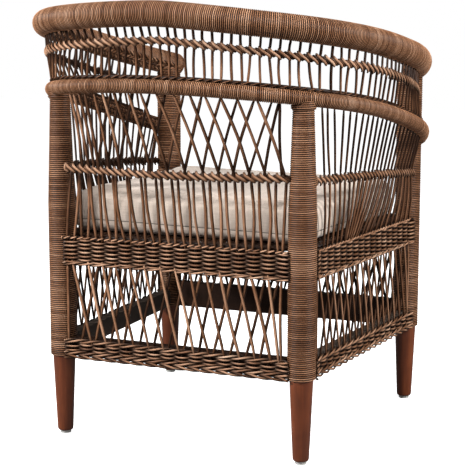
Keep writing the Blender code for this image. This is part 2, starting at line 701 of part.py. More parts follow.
lo, hi = BIND_R + POST_CLEAR, length - BIND_R - POST_CLEAR
count = round((hi - lo) / MID_PITCH)
uprights = [lo + (hi - lo) * k / count for k in range(count + 1)]
places = [(back_braid(s), plane.u, plane.n) for s in uprights]
downs = [plane.at(s, LATTICE_OUT, SEAT_TOP + END_GAP) for s in uprights]
tips = [(back_braid(s), plane.u, plane.n) for s in (BIND_R, length - BIND_R)]
back_panel = place("back_panel", comb(places, tips, [None] * len(places), downs), STRANDS)
count = round((hi - lo) / BACK_PITCH)
for way in (1, -1):
    rows = []
    for k in range(count + 1):
        s = lo + (hi - lo) * k / count
        x = plane.at(s, 0, 0).x
        w = float(min(np.linspace(w_corner, 2 - w_corner, 1800), key=lambda v: abs(low.point(v).x - x)))
        foot = back_braid(min(hi, max(lo, s + way * BACK_SHIFT))) + plane.n * (way * LAYER * STRAND)
        if not rows or (foot - rows[-1][1]).length > 2 * STRAND:
            rows.append((seat_on(low, foot, w, plane.u, plane.n), foot))
    cross = place("cut_cross_" + ("falling" if way > 0 else "rising"), strands(rows, plane.u, plane.n))
    combine(back_panel, cross, "UNION")


def twine(w):
    """The twine's middle, its run and its outward side, where it lies on the lower rail."""
    reach = GALLERY_PITCH / low.half
    lift = 0.0
    for v in np.linspace(w - reach / 2, w + reach / 2, 9):
        c, out = low.point(v), low.outward(v)
        above = c + UP * (3 * low.radius(v))
        hits = [skins[low].ray_cast(above + out * (TWINE / 2 * i), -UP)[0] for i in (-1, 0, 1)]
        lift = max([lift] + [hit.z - c.z for hit in hits])
    return low.point(w) + UP * (lift + TWINE / 2 + GAP), low.tangent(w), low.outward(w)


def braid(w):
    return gallery_line.point(w), gallery_line.tangent(w), gallery_line.outward(w)


# Gallery between the rails, in three lengths: strands from the top rail through a braid into the twine below
trim = END_GAP / gallery_line.half
breaks = (GALLERY_START, w_corner, 2 - w_corner, 2 - GALLERY_START)
for label, w0, w1 in zip(("right", "back", "left"), breaks, breaks[1:]):
    count = round((w1 - w0) * gallery_line.half / GALLERY_PITCH)
    ws = [w0 + (w1 - w0) * (k + 0.5) / count for k in range(count)]
    ends = (w0 + trim, w1 - trim)
    places = [braid(w) for w in ws]
    ups = [seat_on(top, c, w, t, o) for w, (c, t, o) in zip(ws, places)]
    foot = ([twine(w) for w in ws], [twine(w) for w in ends])
    place("gallery_" + label, comb(places, [braid(w) for w in ends], ups, [None] * count, foot), STRANDS)


def cushion_outline(inset):
    """Rounded trapezium in plan, from the back left corner round by the back, as (x, y) pairs."""
    rb, rf = (max(CUSHION_LEAST_CORNER, r - inset) for r in (CUSHION_BACK_CORNER, CUSHION_CORNER))
    xb, xf = CUSHION_BACK - inset, CUSHION_FRONT - inset
    yf, yb = CUSHION_Y[0] + inset, CUSHION_Y[1] - inset
    corners = ((xb - rb, yb - rb, rb, 0), (-xb + rb, yb - rb, rb, 90),
               (-xf + rf, yf + rf, rf, 180), (xf - rf, yf + rf, rf, 270))
    arcs = []
    for cx, cy, r, start in corners:
        angles = [math.radians(start + 30 * k) for k in range(4)]
        arcs.append([(cx + r * math.cos(a), cy + r * math.sin(a)) for a in angles])
    outline = []
    for arc, after in zip(arcs, arcs[1:] + arcs[:1]):
        a, b = arc[-1], after[0]
        outline += arc
        outline += [(a[0] + (b[0] - a[0]) * t, a[1] + (b[1] - a[1]) * t) for t in (0.25, 0.5, 0.75)]
    return outline


def cushion_rings(bm, shrink):
    """Rings of the cushion's form drawn in by shrink, and the middles of its underside and crown."""
    high = CUSHION_H - 2 * shrink
    z0 = CUSHION_Z + shrink
    rings = []
    for inset, share in CUSHION_FORM:
        plan = cushion_outline(inset * CUSHION_CORNER + shrink)
        rings.append([bm.verts.new((x, y, z0 + high * share)) for x, y in plan])
    mid_y = (CUSHION_Y[0] + CUSHION_Y[1]) / 2
    return rings, bm.verts.new((0, mid_y, z0)), bm.verts.new((0, mid_y, z0 + high))


def cushion_skin(bm, rings, under, crown, slit):
    n = len(rings[0])
    for i, (a, b) in enumerate(zip(rings, rings[1:])):
        for k in range(n):
            if not (slit and i == ZIP_ROW and ZIP_SPAN[0] <= k < ZIP_SPAN[1]):
                j = (k + 1) % n
                bm.faces.new((a[k], a[j], b[j], b[k]))
    for k in range(n):
        j = (k + 1) % n
        bm.faces.new((rings[0][j], rings[0][k], under))
        bm.faces.new((rings[-1][k], rings[-1][j], crown))


# Loose cushion: a cover with a slit for its zip, and the filling inside it, on one empty that lifts them
bm = bmesh.new()
shell = cushion_rings(bm, 0.0)
lining = cushion_rings(bm, COVER_T)
cushion_skin(bm, *shell, True)
cushion_skin(bm, *lining, True)
lower, upper = ((shell[0][i], lining[0][i]) for i in (ZIP_ROW, ZIP_ROW + 1))
for outside, inside in (lower, upper):
    for k in range(*ZIP_SPAN):
        bm.faces.new((outside[k], outside[k + 1], inside[k + 1], inside[k]))
for k in ZIP_SPAN:
    bm.faces.new((lower[0][k], upper[0][k], upper[1][k], lower[1][k]))
cover = place("cushion_cover", bm, LINEN, True)
bm = bmesh.new()
cushion_skin(bm, *cushion_rings(bm, COVER_T + GAP), False)
foam = place("cushion_foam", bm, FOAM, True)
lift = bpy.data.objects.new("cushion_lift", None)
chair.objects.link(lift)
lift.location = (0, (CUSHION_Y[0] + CUSHION_Y[1]) / 2, CUSHION_Z)
for piece in (cover, foam):
    piece.parent = lift
    piece.location = -lift.location

for name in sorted(joined):
    settle(bpy.data.objects[name])
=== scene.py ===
"""Looks of the woven tub armchair: wound rails and posts, woven bands, braids, lattices and a linen cushion.

Metres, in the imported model's frame: +Z up, the chair faces -Y and the sitter's right is -X.
"""

import math

import bpy
import numpy as np
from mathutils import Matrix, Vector


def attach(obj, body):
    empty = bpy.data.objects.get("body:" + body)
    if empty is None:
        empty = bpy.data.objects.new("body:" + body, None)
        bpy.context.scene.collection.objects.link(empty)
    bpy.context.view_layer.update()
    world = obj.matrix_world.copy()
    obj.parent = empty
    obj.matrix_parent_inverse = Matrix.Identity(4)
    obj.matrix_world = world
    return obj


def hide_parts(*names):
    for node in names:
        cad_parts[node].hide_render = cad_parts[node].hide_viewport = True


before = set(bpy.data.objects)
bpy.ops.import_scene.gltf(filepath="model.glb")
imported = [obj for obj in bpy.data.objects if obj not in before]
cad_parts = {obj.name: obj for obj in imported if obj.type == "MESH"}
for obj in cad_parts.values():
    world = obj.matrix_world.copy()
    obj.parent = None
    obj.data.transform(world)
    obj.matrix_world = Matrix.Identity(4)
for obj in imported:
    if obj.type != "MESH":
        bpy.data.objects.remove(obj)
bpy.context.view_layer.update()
scene = bpy.context.scene
UP = np.array((0.0, 0.0, 1.0))

# Sizes of the solids, as the part's source has them
BACK_X, BACK_Y = 0.231, 0.2213
FRONT_X, FRONT_Y = 0.2605, -0.2677
FOOT_R, FOOT_TOP_R, FOOT_TOP_Z = 0.0135, 0.0202, 0.146
GLIDE_H = 0.006
BIND_R, BIND_T = 0.0247, 0.0042
BACK_TAPER_Z, BACK_NECK_R, BACK_NECK_H = 0.425, 0.0187, 0.004
COLLAR_R, COLLAR_H, COLLAR_STEP = 0.0216, 0.0045, 0.002
BACK_CROWN, FRONT_CROWN = 0.004, 0.012
LOW_END_Z, LOW_BACK_Z, LOW_RISE, LOW_LEFT = 0.5196, 0.6362, 1.70, 0.0100
TOP_END_Z, TOP_BACK_Z, TOP_RISE, TOP_LEFT = 0.6535, 0.7572, 1.22, 0.0165
END_DOME, END_BLUNT = 0.58, 0.6
BRAID_SHARE_END, BRAID_SHARE_BACK = 0.576, 0.642
TOP_RAIL = dict(side=0.0890, widest=-0.2815, rear=0.0775, square=3.0, end_x=-0.0005, end_y=-0.0285,
                back_r=0.0218, end_r=0.0240)
LOW_RAIL = dict(side=0.0798, widest=-0.3495, rear=0.0608, square=3.45, end_x=0.0115, end_y=-0.0311,
                back_r=0.0127, end_r=0.0150)
BRAID_LINE = dict(side=0.0903, widest=-0.2490, rear=0.0650, square=2.8, end_x=0.0085, end_y=-0.0075,
                  back_r=0.0, end_r=0.0)
THICK_SHARE = 0.6
GALLERY_START = 0.100
BRAID_OUT, LATTICE_OUT = 0.0140, 0.0145
BACK_BOW, SIDE_BULGE, SIDE_BULGE_POWER = 0.0120, 0.0140, 0.8
BASE_Z, BASE_BAND_H, FRONT_RISE = 0.147, 0.035, 0.017
SEAT_Z, SEAT_BAND_H = 0.316, 0.051
MID_Z, SIDE_MID_BACK, SIDE_MID_FRONT, SIDE_MID_POWER = 0.4860, 0.4830, 0.4530, 1.5
DECK_Z, DECK_T = 0.3623, 0.0080
CUSHION_Z, CUSHION_H = 0.3706, 0.0740
SEAM_UP = 0.0170            # the cushion's seam above its underside
LEFT_UP = 0.0060            # how far the cushion rises to the left
CUSHION_BACK, CUSHION_FRONT = 0.2295, 0.2420
CUSHION_Y = (-0.2677, 0.1983)
CUSHION_CORNER, CUSHION_BACK_CORNER = 0.045, 0.022
BASE_TOP, SEAT_TOP = BASE_Z + BASE_BAND_H, SEAT_Z + SEAT_BAND_H

# Sizes of the windings and weaves
RAIL_TURN, LOW_TURN, LEG_TURN = 0.0032, 0.0032, 0.0035     # width of one turn of binding
TURN_DEPTH = 0.0015         # how far a turn stands over the groove beside it
RAIL_SIDES, LOW_SIDES, LEG_SIDES, POST_SIDES = 24, 16, 20, 48
STRAND_W, STRAND_D = 0.0056, 0.0044
STRAND_IN = 0.005           # how far a strand's end runs into a rail
BEHIND_BAND = 0.008         # how far a strand's end runs behind a band
STRAND_CLEAR = 0.005        # a lattice's first and last strand from the posts' bindings
INNER_ROW = 0.0084          # spacing of the twined rows inside the rails
GALLERY_PITCH, GALLERY_SIDE_PITCH = 0.0158, 0.0195
GALLERY_LAP = 0.04          # how far the gallery's braid runs past its strands, as a share of half the rail
BRAID_STEP = 0.0032         # spacing of the points along a braid
# How far a braid's ends run over the posts, less at the back's left end
BRAID_OVER, BRAID_OVER_LEFT = 0.013, 0.0055
# Falling strands of the back, closer and steeper by the left post: head and foot
FALLS = ((0.0414, 0.0567), (0.0506, 0.0707), (0.0632, 0.0817), (0.0777, 0.0914), (0.0978, 0.1128),
         (0.1154, 0.1357), (0.1369, 0.1672), (0.1657, 0.1963), (0.1888, 0.2300), (0.2181, 0.2624),
         (0.2500, 0.2960), (0.2803, 0.3243), (0.3074, 0.3514), (0.3345, 0.3785), (0.3630, 0.4070),
         (0.3955, 0.4395))
BARE_FALLS = 3              # the first falling strands have no rising one beside them
BACK_GAP, BACK_CLIMB = 0.009, 0.054      # a rising strand's foot from a falling one's, and how far it drifts
BRAID_SAG = 0.0040          # how far the back's braid hangs below its ends
MID_PITCH = 0.0144          # spacing of the strokes in the braids of the back and sides
# Upright strands by the back's left post: head, foot, and the middle from the head
UPRIGHTS = ((0.0323, 0.0199, -0.0055), (0.0486, 0.0327, -0.0060), (0.0490, 0.0485, 0.0010),
            (0.0660, 0.0611, 0.0005))
# The pairs after them: the first foot, spacing of the pairs, gap in a pair, number of pairs
UPRIGHT_FOOT, UPRIGHT_PAIR, UPRIGHT_GAP, UPRIGHT_PAIRS = 0.0788, 0.02884, 0.0107, 13
UPRIGHT_DRIFT = ((0, 3, 6, 12), (0.009, 0.0165, 0.008, 0.004))     # how far a pair drifts, by its number
UPRIGHT_LAST = (0.0227, 0.0297, -0.0020)       # the last one, its head and foot from the right post's middle
SIDE_PITCH, SIDE_FIRST = 0.0192, 0.0441
# How far the heads of the side strands lean towards the side's first post
SIDE_LEAN = {"right": 0.0390, "left": 0.0700}
# How much farther the heads of the first side strands lean, by their place along the side
SIDE_FIRST_LEAN = ((0.044, 0.063, 0.083, 0.121, 0.180, 0.250), (0.0045, 0.0110, 0.0136, 0.0084, 0.0040, 0.0))
# How far the foot of a side strand drifts along the side, as shares of its length
SIDE_DRAW = ((0.0, 0.28, 0.50, 0.62, 0.92, 1.0), (0.012, 0.004, -0.115, -0.115, 0.0, 0.02))
SIDE_DOUBLE = 0.35          # past this share of a side, inner strands hang between the others
LOWER_PITCH, LOWER_SIDE_PITCH, LOWER_SHIFT = 0.0290, 0.0267, 0.0370
LOWER_PAIR = 0.0055         # a rising strand's foot from a falling one's
# The upright strands by a side's first and second post, from the posts' middles
POST_STRANDS = 0.0205, 0.0313
LAYER = 0.0016              # each layer of a lattice from its middle
COLUMN = 0.0276             # spacing of the stakes in the woven bands
WEAVER_ROW = 0.0036
BAND_MID = 0.0143           # middle of a band's weave from the line between the posts
WEAVE_REACH = 0.0031        # how far a weaver swings to each side of the stakes
BAND_START, BAND_LAP, BAND_RUN = 0.0140, 0.0075, 0.0200      # a band's end laps round the post
rng = np.random.default_rng(11)

POSTS = {
    "back_left": np.array((BACK_X, BACK_Y, 0)),
    "back_right": np.array((-BACK_X, BACK_Y, 0)),
    "front_left": np.array((FRONT_X, FRONT_Y, 0)),
    "front_right": np.array((-FRONT_X, FRONT_Y, 0)),
}
# Each side runs from its first post to its second, to the right as seen from outside
SIDES = {
    "back": ("back_left", "back_right"),
    "right": ("back_right", "front_right"),
    "front": ("front_right", "front_left"),
    "left": ("front_left", "back_left"),
}


def unit(v):
    return v / np.maximum(np.linalg.norm(v, axis=-1, keepdims=True), 1e-9)


def spline(knots, count):
    """A smooth line of count points through a few knots."""
    p = np.asarray(knots, float)
    p = np.vstack([2 * p[0] - p[1], p, 2 * p[-1] - p[-2]])
    t = np.linspace(0, len(p) - 3 - 1e-9, count)
    i = t.astype(int)
    f = (t - i)[:, None]
    a, b, c, d = p[i], p[i + 1], p[i + 2], p[i + 3]
    return 0.5 * (2 * b + (c - a) * f + (2 * a - 5 * b + 4 * c - d) * f ** 2
                  + (3 * b - a - 3 * c + d) * f ** 3)


def run(path):
    """Length along a line at each of its points."""
    return np.concatenate([[0], np.cumsum(np.linalg.norm(np.diff(path, axis=0), axis=1))])


def tube(rows, sides):
    """The walls of a tube of rings, as faces."""
    k = np.arange(sides)
    j = (k + 1) % sides
    i = np.arange(rows - 1)[:, None] * sides
    return np.stack([i + k, i + j, i + j + sides, i + k + sides], -1).reshape(-1, 4)


class Net:
    """Strands and windings gathered into one mesh.

    Each vertex keeps how far along its strand it lies, how far round, the strand's tone, and how clear it
    lies of pooled stain and painted shade: 1 on the crest of a strand, 0 where it dips behind its neighbours
    into shade.
    """

    def __init__(self):
        self.verts, self.faces, self.strand, self.clear_of_stain_and_shade = [], [], [], []
        self.count = 0

    def add(self, points, faces, strand, clear_of_stain_and_shade):
        self.verts.append(points.reshape(-1, 3))
        self.faces += [f + self.count for f in faces]
        self.strand.append(strand.reshape(-1, 3))
        self.clear_of_stain_and_shade.append(clear_of_stain_and_shade.reshape(-1))
        self.count += points.size // 3

    def sweep(self, path, out, width, depth, tone, clear_of_stain_and_shade=1.0, sides=6, tip=0.6, painted_light_turn=0.0):
        """One closed strand along a path, its broad side towards out, with a painted lit side turned from out
        by the last argument and painted shade on the other side.
        """
        path = np.asarray(path, float)
        n = len(path)
        t = unit(np.gradient(path, axis=0))
        across = unit(np.cross(np.broadcast_to(out, path.shape), t))
        deep = np.cross(t, across)
        a = 2 * np.pi * (np.arange(sides) + 0.5) / sides
        size = np.ones(n)
        size[[0, -1]] = tip
        wide, thick = np.cos(a) * width / 2, np.sin(a) * depth / 2
        ring = across[:, None] * wide[:, None] + deep[:, None] * thick[:, None]
        points = path[:, None] + ring * size[:, None, None]
        half = np.arange((sides - 2) // 2)
        cap = np.stack([half, half + 1, sides - 2 - half, sides - 1 - half], -1)
        strand = np.zeros((n, sides, 3))
        strand[..., 0] = run(path)[:, None]
        strand[..., 1] = np.abs(2 * np.arange(sides) / sides - 1)
        strand[..., 2] = np.broadcast_to(tone, n)[:, None]
        # Painted light and shade round the strand: lightest on the turned side, darker on the far side
        clear_by_painted_light = np.broadcast_to(clear_of_stain_and_shade, n)[:, None] * (0.2 + 0.8 * np.maximum(np.sin(a + painted_light_turn), 0))
        self.add(points, [tube(n, sides), cap[:, ::-1], cap + (n - 1) * sides], strand, clear_by_painted_light)

    def wind(self, place, turns, sides, depth, tones):
        """A strip wound round a pole. place(q, a, drop) is the point at turn q and angle a, sunk by drop."""
        rows = 4 * turns + 1
        k = np.arange(sides)
        i = np.arange(rows)
        drop = depth * np.array((1.0, 0.22, 0.0, 0.22))[i % 4]
        q = i[:, None] / 4 + k / sides
        a = np.broadcast_to(2 * np.pi * k / sides, q.shape)
        points = place(q, a, np.broadcast_to(drop[:, None], q.shape))
        r = np.arange(rows - 1)[:, None] * sides
        walls = np.stack([r + k[:-1], r + k[1:], r + k[1:] + sides, r + k[:-1] + sides], -1).reshape(-1, 4)
        r = np.arange(rows - 5) * sides
        seam = np.stack([r + sides - 1, r + 4 * sides, r + 5 * sides, r + 2 * sides - 1], -1)
        first = np.concatenate([k, np.arange(4, 0, -1) * sides])
        last = np.concatenate([k + (rows - 1) * sides, (rows - np.arange(2, 6)) * sides + sides - 1])[::-1]
        hubs = rows * sides
        ends = [np.stack([loop, np.full(len(loop), hubs + n), np.roll(loop, -1)], -1)
                for n, loop in enumerate((first, last))]
        middle = np.stack([points.reshape(-1, 3)[loop].mean(0) for loop in (first, last)])
        turn = np.floor(i / 4)[:, None] + k / sides
        strand = np.stack([turn, a / (2 * np.pi), np.interp(turn, np.arange(len(tones)), tones)], -1)
        # Painted shade in the grooves between the turns, partly pooled stain: darkest in a groove, clear on a
        # turn's crest
        clear_of_stain_and_shade = np.broadcast_to(np.array((0.0, 0.5, 1.0, 0.5))[i % 4][:, None], q.shape)
        strand = np.vstack([strand.reshape(-1, 3), np.zeros((2, 3))])
        self.add(np.vstack([points.reshape(-1, 3), middle]), [walls, seam] + ends, strand,
                 np.append(clear_of_stain_and_shade.reshape(-1), (0.5, 0.5)))

    def rope(self, line, out, count, lay, high, deep, width, thick, tone, rise, spread=0.12):
        """Strands twisted round a line, each coming to the front once in a lay, where it rises or falls.

        tone is one level for all the strands, or several that they take in turn.
        """
        levels = np.atleast_1d(tone)
        s = run(line)
        side = np.broadcast_to(out, line.shape)
        up = unit(np.cross(side, unit(np.gradient(line, axis=0))))
        up = up * np.sign(up[:, 2:3])
        for k in range(count):
            turns = s / lay + k / count
            phase = 2 * np.pi * turns
            path = line - up * (rise * high * np.cos(phase))[:, None] + side * (deep * np.sin(phase))[:, None]
            strokes = np.floor(turns + 0.25).astype(int)
            tones = levels[k % len(levels)] + spread * rng.standard_normal(strokes.max() + 2)
            # Painted shade where a strand turns behind the others, painted light where it comes to the front
            self.sweep(path, side, width, thick, tones[strokes], 0.5 + 0.5 * np.sin(phase), painted_light_turn=0.4)

    def strokes(self, line, out, pitch, shape, width, thick, level, first=0.0):
        """Short strokes along a line. shape gives (along, up, out) for the points of one stroke."""
        s = run(line)
        side = np.broadcast_to(out, line.shape)
        along, up, off = np.array(shape).T
        for k in range(-1, int((s[-1] - first) / pitch)):
            at = first + k * pitch + along
            base, face = (np.stack([np.interp(at, s, v[:, i]) for i in range(3)], -1) for v in (line, side))
            path = spline(base + UP * up[:, None] + face * off[:, None], 11)
            # Painted shade at a stroke's ends, where it dips under its neighbours
            lit_middle_shaded_ends = np.interp(np.linspace(0, 1, 11), (0, 0.25, 0.75, 1), (0.3, 1, 1, 0.2))
            self.sweep(path, face[len(face) // 2], width, thick, tone(level, 0.08), lit_middle_shaded_ends, painted_light_turn=0.4)

    def piece(self, name, material, slot, *replaced, body="frame"):
        """The mesh object, riding on a body and standing for the solids that it replaces."""
        mesh = bpy.data.meshes.new(name)
        faces = [tuple(int(i) for i in f) for block in self.faces for f in block]
        mesh.from_pydata(np.vstack(self.verts).tolist(), [], faces)
        mesh.attributes.new("strand", "FLOAT_VECTOR", "POINT")
        mesh.attributes.new("clear_of_stain_and_shade", "FLOAT", "POINT")
        strand = np.vstack(self.strand).astype(np.float32).ravel()
        mesh.attributes["strand"].data.foreach_set("vector", strand)
        mesh.attributes["clear_of_stain_and_shade"].data.foreach_set("value", np.concatenate(self.clear_of_stain_and_shade).astype(np.float32))
        mesh.shade_smooth()
        mesh.materials.append(material)
        return settle(bpy.data.objects.new(name, mesh), replaced, body)


def settle(o, replaced, body):
    """Puts a new piece in the scene, on its body, in place of the solids that it stands for."""
    scene.collection.objects.link(o)
    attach(o, body)
    if replaced:
        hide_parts(*replaced)
    return o


class Bend:
    """A horseshoe in plan, from w 0 at the right front end past 1 at the back to 2 at the left front end."""

    def __init__(self, q, height):
        self.q, self.height = q, height
        a, xe = BACK_X + q["side"], FRONT_X + q["end_x"]
        y0, yb, ye = BACK_Y + q["widest"], BACK_Y + q["rear"], FRONT_Y + q["end_y"]
        t = np.linspace(0, 1, 300)
        th = np.linspace(0, math.pi / 2, 1200)
        back_x = a * np.cos(th) ** (2 / q["square"])
        back_x[-1] = 0
        back_y = y0 + (yb - y0) * np.sin(th) ** (2 / q["square"])
        self.x = np.concatenate([a - (a - xe) * (1 - t) ** 2, back_x[1:]])
        self.y = np.concatenate([ye + (y0 - ye) * t, back_y[1:]])
        self.s = np.concatenate([[0], np.cumsum(np.hypot(np.diff(self.x), np.diff(self.y)))])
        self.half = float(self.s[-1])

    def at(self, w):
        w = np.asarray(w, float)
        u = np.minimum(w, 2 - w)
        x = np.interp(u * self.half, self.s, self.x)
        y = np.interp(u * self.half, self.s, self.y)
        return np.stack([np.where(w <= 1, -x, x), y, self.height(w)], -1)

    def radius(self, w):
        w = np.asarray(w, float)
        k = np.maximum(0.0, 1 - np.minimum(w, 2 - w) / THICK_SHARE)
        return self.q["back_r"] + (self.q["end_r"] - self.q["back_r"]) * k

    def along(self, w):
        w = np.asarray(w, float)
        return unit(self.at(np.minimum(2, w + 0.004)) - self.at(np.maximum(0, w - 0.004)))

    def out(self, w):
        t = self.along(w)
        return unit(np.stack([-t[..., 1], t[..., 0], np.zeros(t.shape[:-1])], -1))

    def nearest(self, spot, lo, hi):
        ws = np.linspace(lo, hi, 800)
        return float(ws[np.argmin(np.linalg.norm(self.at(ws)[:, :2] - spot[:2], axis=1))])


def rail_z(w, back_z, end_z, rise, left):
    """A rail's height, from its ends up to the back, with its left bend lifted."""
    return back_z - (back_z - end_z) * np.abs(1 - w) ** rise + left * np.sin(np.pi * np.maximum(0, w - 1))


def low_z(w):
    return rail_z(w, LOW_BACK_Z, LOW_END_Z, LOW_RISE, LOW_LEFT)


def top_z(w):
    return rail_z(w, TOP_BACK_Z, TOP_END_Z, TOP_RISE, TOP_LEFT)


def braid_z(w):
    share = BRAID_SHARE_END + (BRAID_SHARE_BACK - BRAID_SHARE_END) * np.minimum(w, 2 - w) ** 3
    return low_z(w) + (top_z(w) - low_z(w)) * share


class Side:
    """The plane between two posts: s to the right as seen from outside, off outwards, z up."""

    def __init__(self, first, second):
        self.a, b = POSTS[first], POSTS[second]
        self.length = float(np.linalg.norm(b - self.a))
        self.u = (b - self.a) / self.length
        self.n = np.cross(self.u, UP)
        if self.n @ (self.a + b) < 0:
            self.n = -self.n

    def at(self, s, off, z):
        s, off, z = np.broadcast_arrays(s, off, z)
        return self.a + self.u * s[..., None] + self.n * off[..., None] + UP * z[..., None]


top = Bend(TOP_RAIL, top_z)
low = Bend(LOW_RAIL, low_z)
gallery_line = Bend(BRAID_LINE, braid_z)
planes = {key: Side(*ends) for key, ends in SIDES.items()}
base_tops = {key: BASE_TOP + (FRONT_RISE if key == "front" else 0.0) for key in SIDES}


def add(tree, kind, ins=(), **props):
    """A shader node, with its inputs given as values or as sockets to link."""
    n = tree.nodes.new("ShaderNode" + kind)
    for key, value in props.items():
        setattr(n, key, value)
    for key, value in dict(ins).items():
        if isinstance(value, bpy.types.NodeSocket):
            tree.links.new(value, n.inputs[key])
        else:
            n.inputs[key].default_value = value
    return n


def blank(name):
    m = bpy.data.materials.new(name)
    m.use_nodes = True
    return m, m.node_tree, m.node_tree.nodes["Principled BSDF"]


def math_node(tree, how, *values, clamp=False):
    return add(tree, "Math", enumerate(values), operation=how, use_clamp=clamp).outputs[0]


def ramp(tree, level, stops):
    n = add(tree, "ValToRGB", {0: level})
    while len(n.color_ramp.elements) < len(stops):
        n.color_ramp.elements.new(0.5)
    for e, (where, rgb) in zip(n.color_ramp.elements, stops):
        e.position = where
        e.color = (*rgb, 1)
    return n.outputs[0]


def noise(tree, vector, scale, detail=3.0, rough=0.55):
    ins = {"Vector": vector, "Scale": scale, "Detail": detail, "Roughness": rough}
    return add(tree, "TexNoise", ins).outputs[0]


def surface(tree, shader, texture, rough, strength, distance):
    """Roughness and relief that follow one texture."""
    gloss = add(tree, "MapRange", {0: texture, 3: rough[0], 4: rough[1]}).outputs[0]
    tree.links.new(gloss, shader.inputs["Roughness"])
    bump = add(tree, "Bump", {"Strength": strength, "Distance": distance, "Height": texture})
    tree.links.new(bump.outputs[0], shader.inputs["Normal"])


# The dark colour that cane takes where it dips or turns away: partly pooled stain, partly painted shade
STAIN_AND_SHADE = (0.012, 0.0045, 0.0018)


def cane(name, stops, stain_and_shade_power, along, rough):
    """Stained cane: a tone for each strand, fibres along it, and a dark colour where it dips or turns away,
    partly stain that has pooled there and partly painted shade.
    """
    m, tree, shader = blank(name)
    shader.inputs["Specular IOR Level"].default_value = 0.14
    marks = add(tree, "Attribute", attribute_name="strand").outputs["Vector"]
    parts = add(tree, "SeparateXYZ", {0: marks}).outputs
    clear_of_stain_and_shade = add(tree, "Attribute", attribute_name="clear_of_stain_and_shade").outputs["Fac"]
    fibre_at = add(tree, "CombineXYZ", {0: math_node(tree, "MULTIPLY", parts[0], along),
                                        1: math_node(tree, "MULTIPLY", parts[1], 5.0),
                                        2: math_node(tree, "MULTIPLY", parts[2], 53.0)}).outputs[0]
    fibre = noise(tree, fibre_at, 1.0, 4.0, 0.6)
    spot = add(tree, "TexCoord").outputs["Object"]
    blotch = noise(tree, spot, 16.0)
    level = math_node(tree, "MULTIPLY_ADD", fibre, 0.5, parts[2])
    level = math_node(tree, "ADD", level, math_node(tree, "MULTIPLY", blotch, 0.5))
    level = math_node(tree, "SUBTRACT", level, 0.5, clamp=True)
    colour = ramp(tree, level, stops)
    # Painted shade with pooled stain: the cane darkens towards the dark colour in grooves, on hidden sides and
    # behind crossing strands
    shade = math_node(tree, "POWER", clear_of_stain_and_shade, stain_and_shade_power)
    tint = add(tree, "Mix", {0: shade, 6: (*STAIN_AND_SHADE, 1), 7: colour}, data_type="RGBA").outputs[2]
    tree.links.new(tint, shader.inputs["Base Color"])
    surface(tree, shader, fibre, (rough - 0.1, rough + 0.14), 0.35, 0.0004)
    return m


def grained(name, stops, axis, rough, scale, gloss=0.5):
    """Wood with its grain along one axis of the chair, worn a little lighter in places."""
    m, tree, shader = blank(name)
    shader.inputs["Specular IOR Level"].default_value = gloss
    stretch = [60.0 * scale] * 3
    stretch[axis] = 4.0 * scale
    spot = add(tree, "Mapping", {0: add(tree, "TexCoord").outputs["Object"], 3: stretch}).outputs[0]
    grain = noise(tree, spot, 1.0, 5.0, 0.65)
    blotch = noise(tree, add(tree, "TexCoord").outputs["Object"], 22.0)
    level = math_node(tree, "ADD", math_node(tree, "MULTIPLY", grain, 0.75),
                      math_node(tree, "MULTIPLY", blotch, 0.25), clamp=True)
    tree.links.new(ramp(tree, level, stops), shader.inputs["Base Color"])
    surface(tree, shader, grain, (rough - 0.1, rough + 0.12), 0.25, 0.0005)
    return m


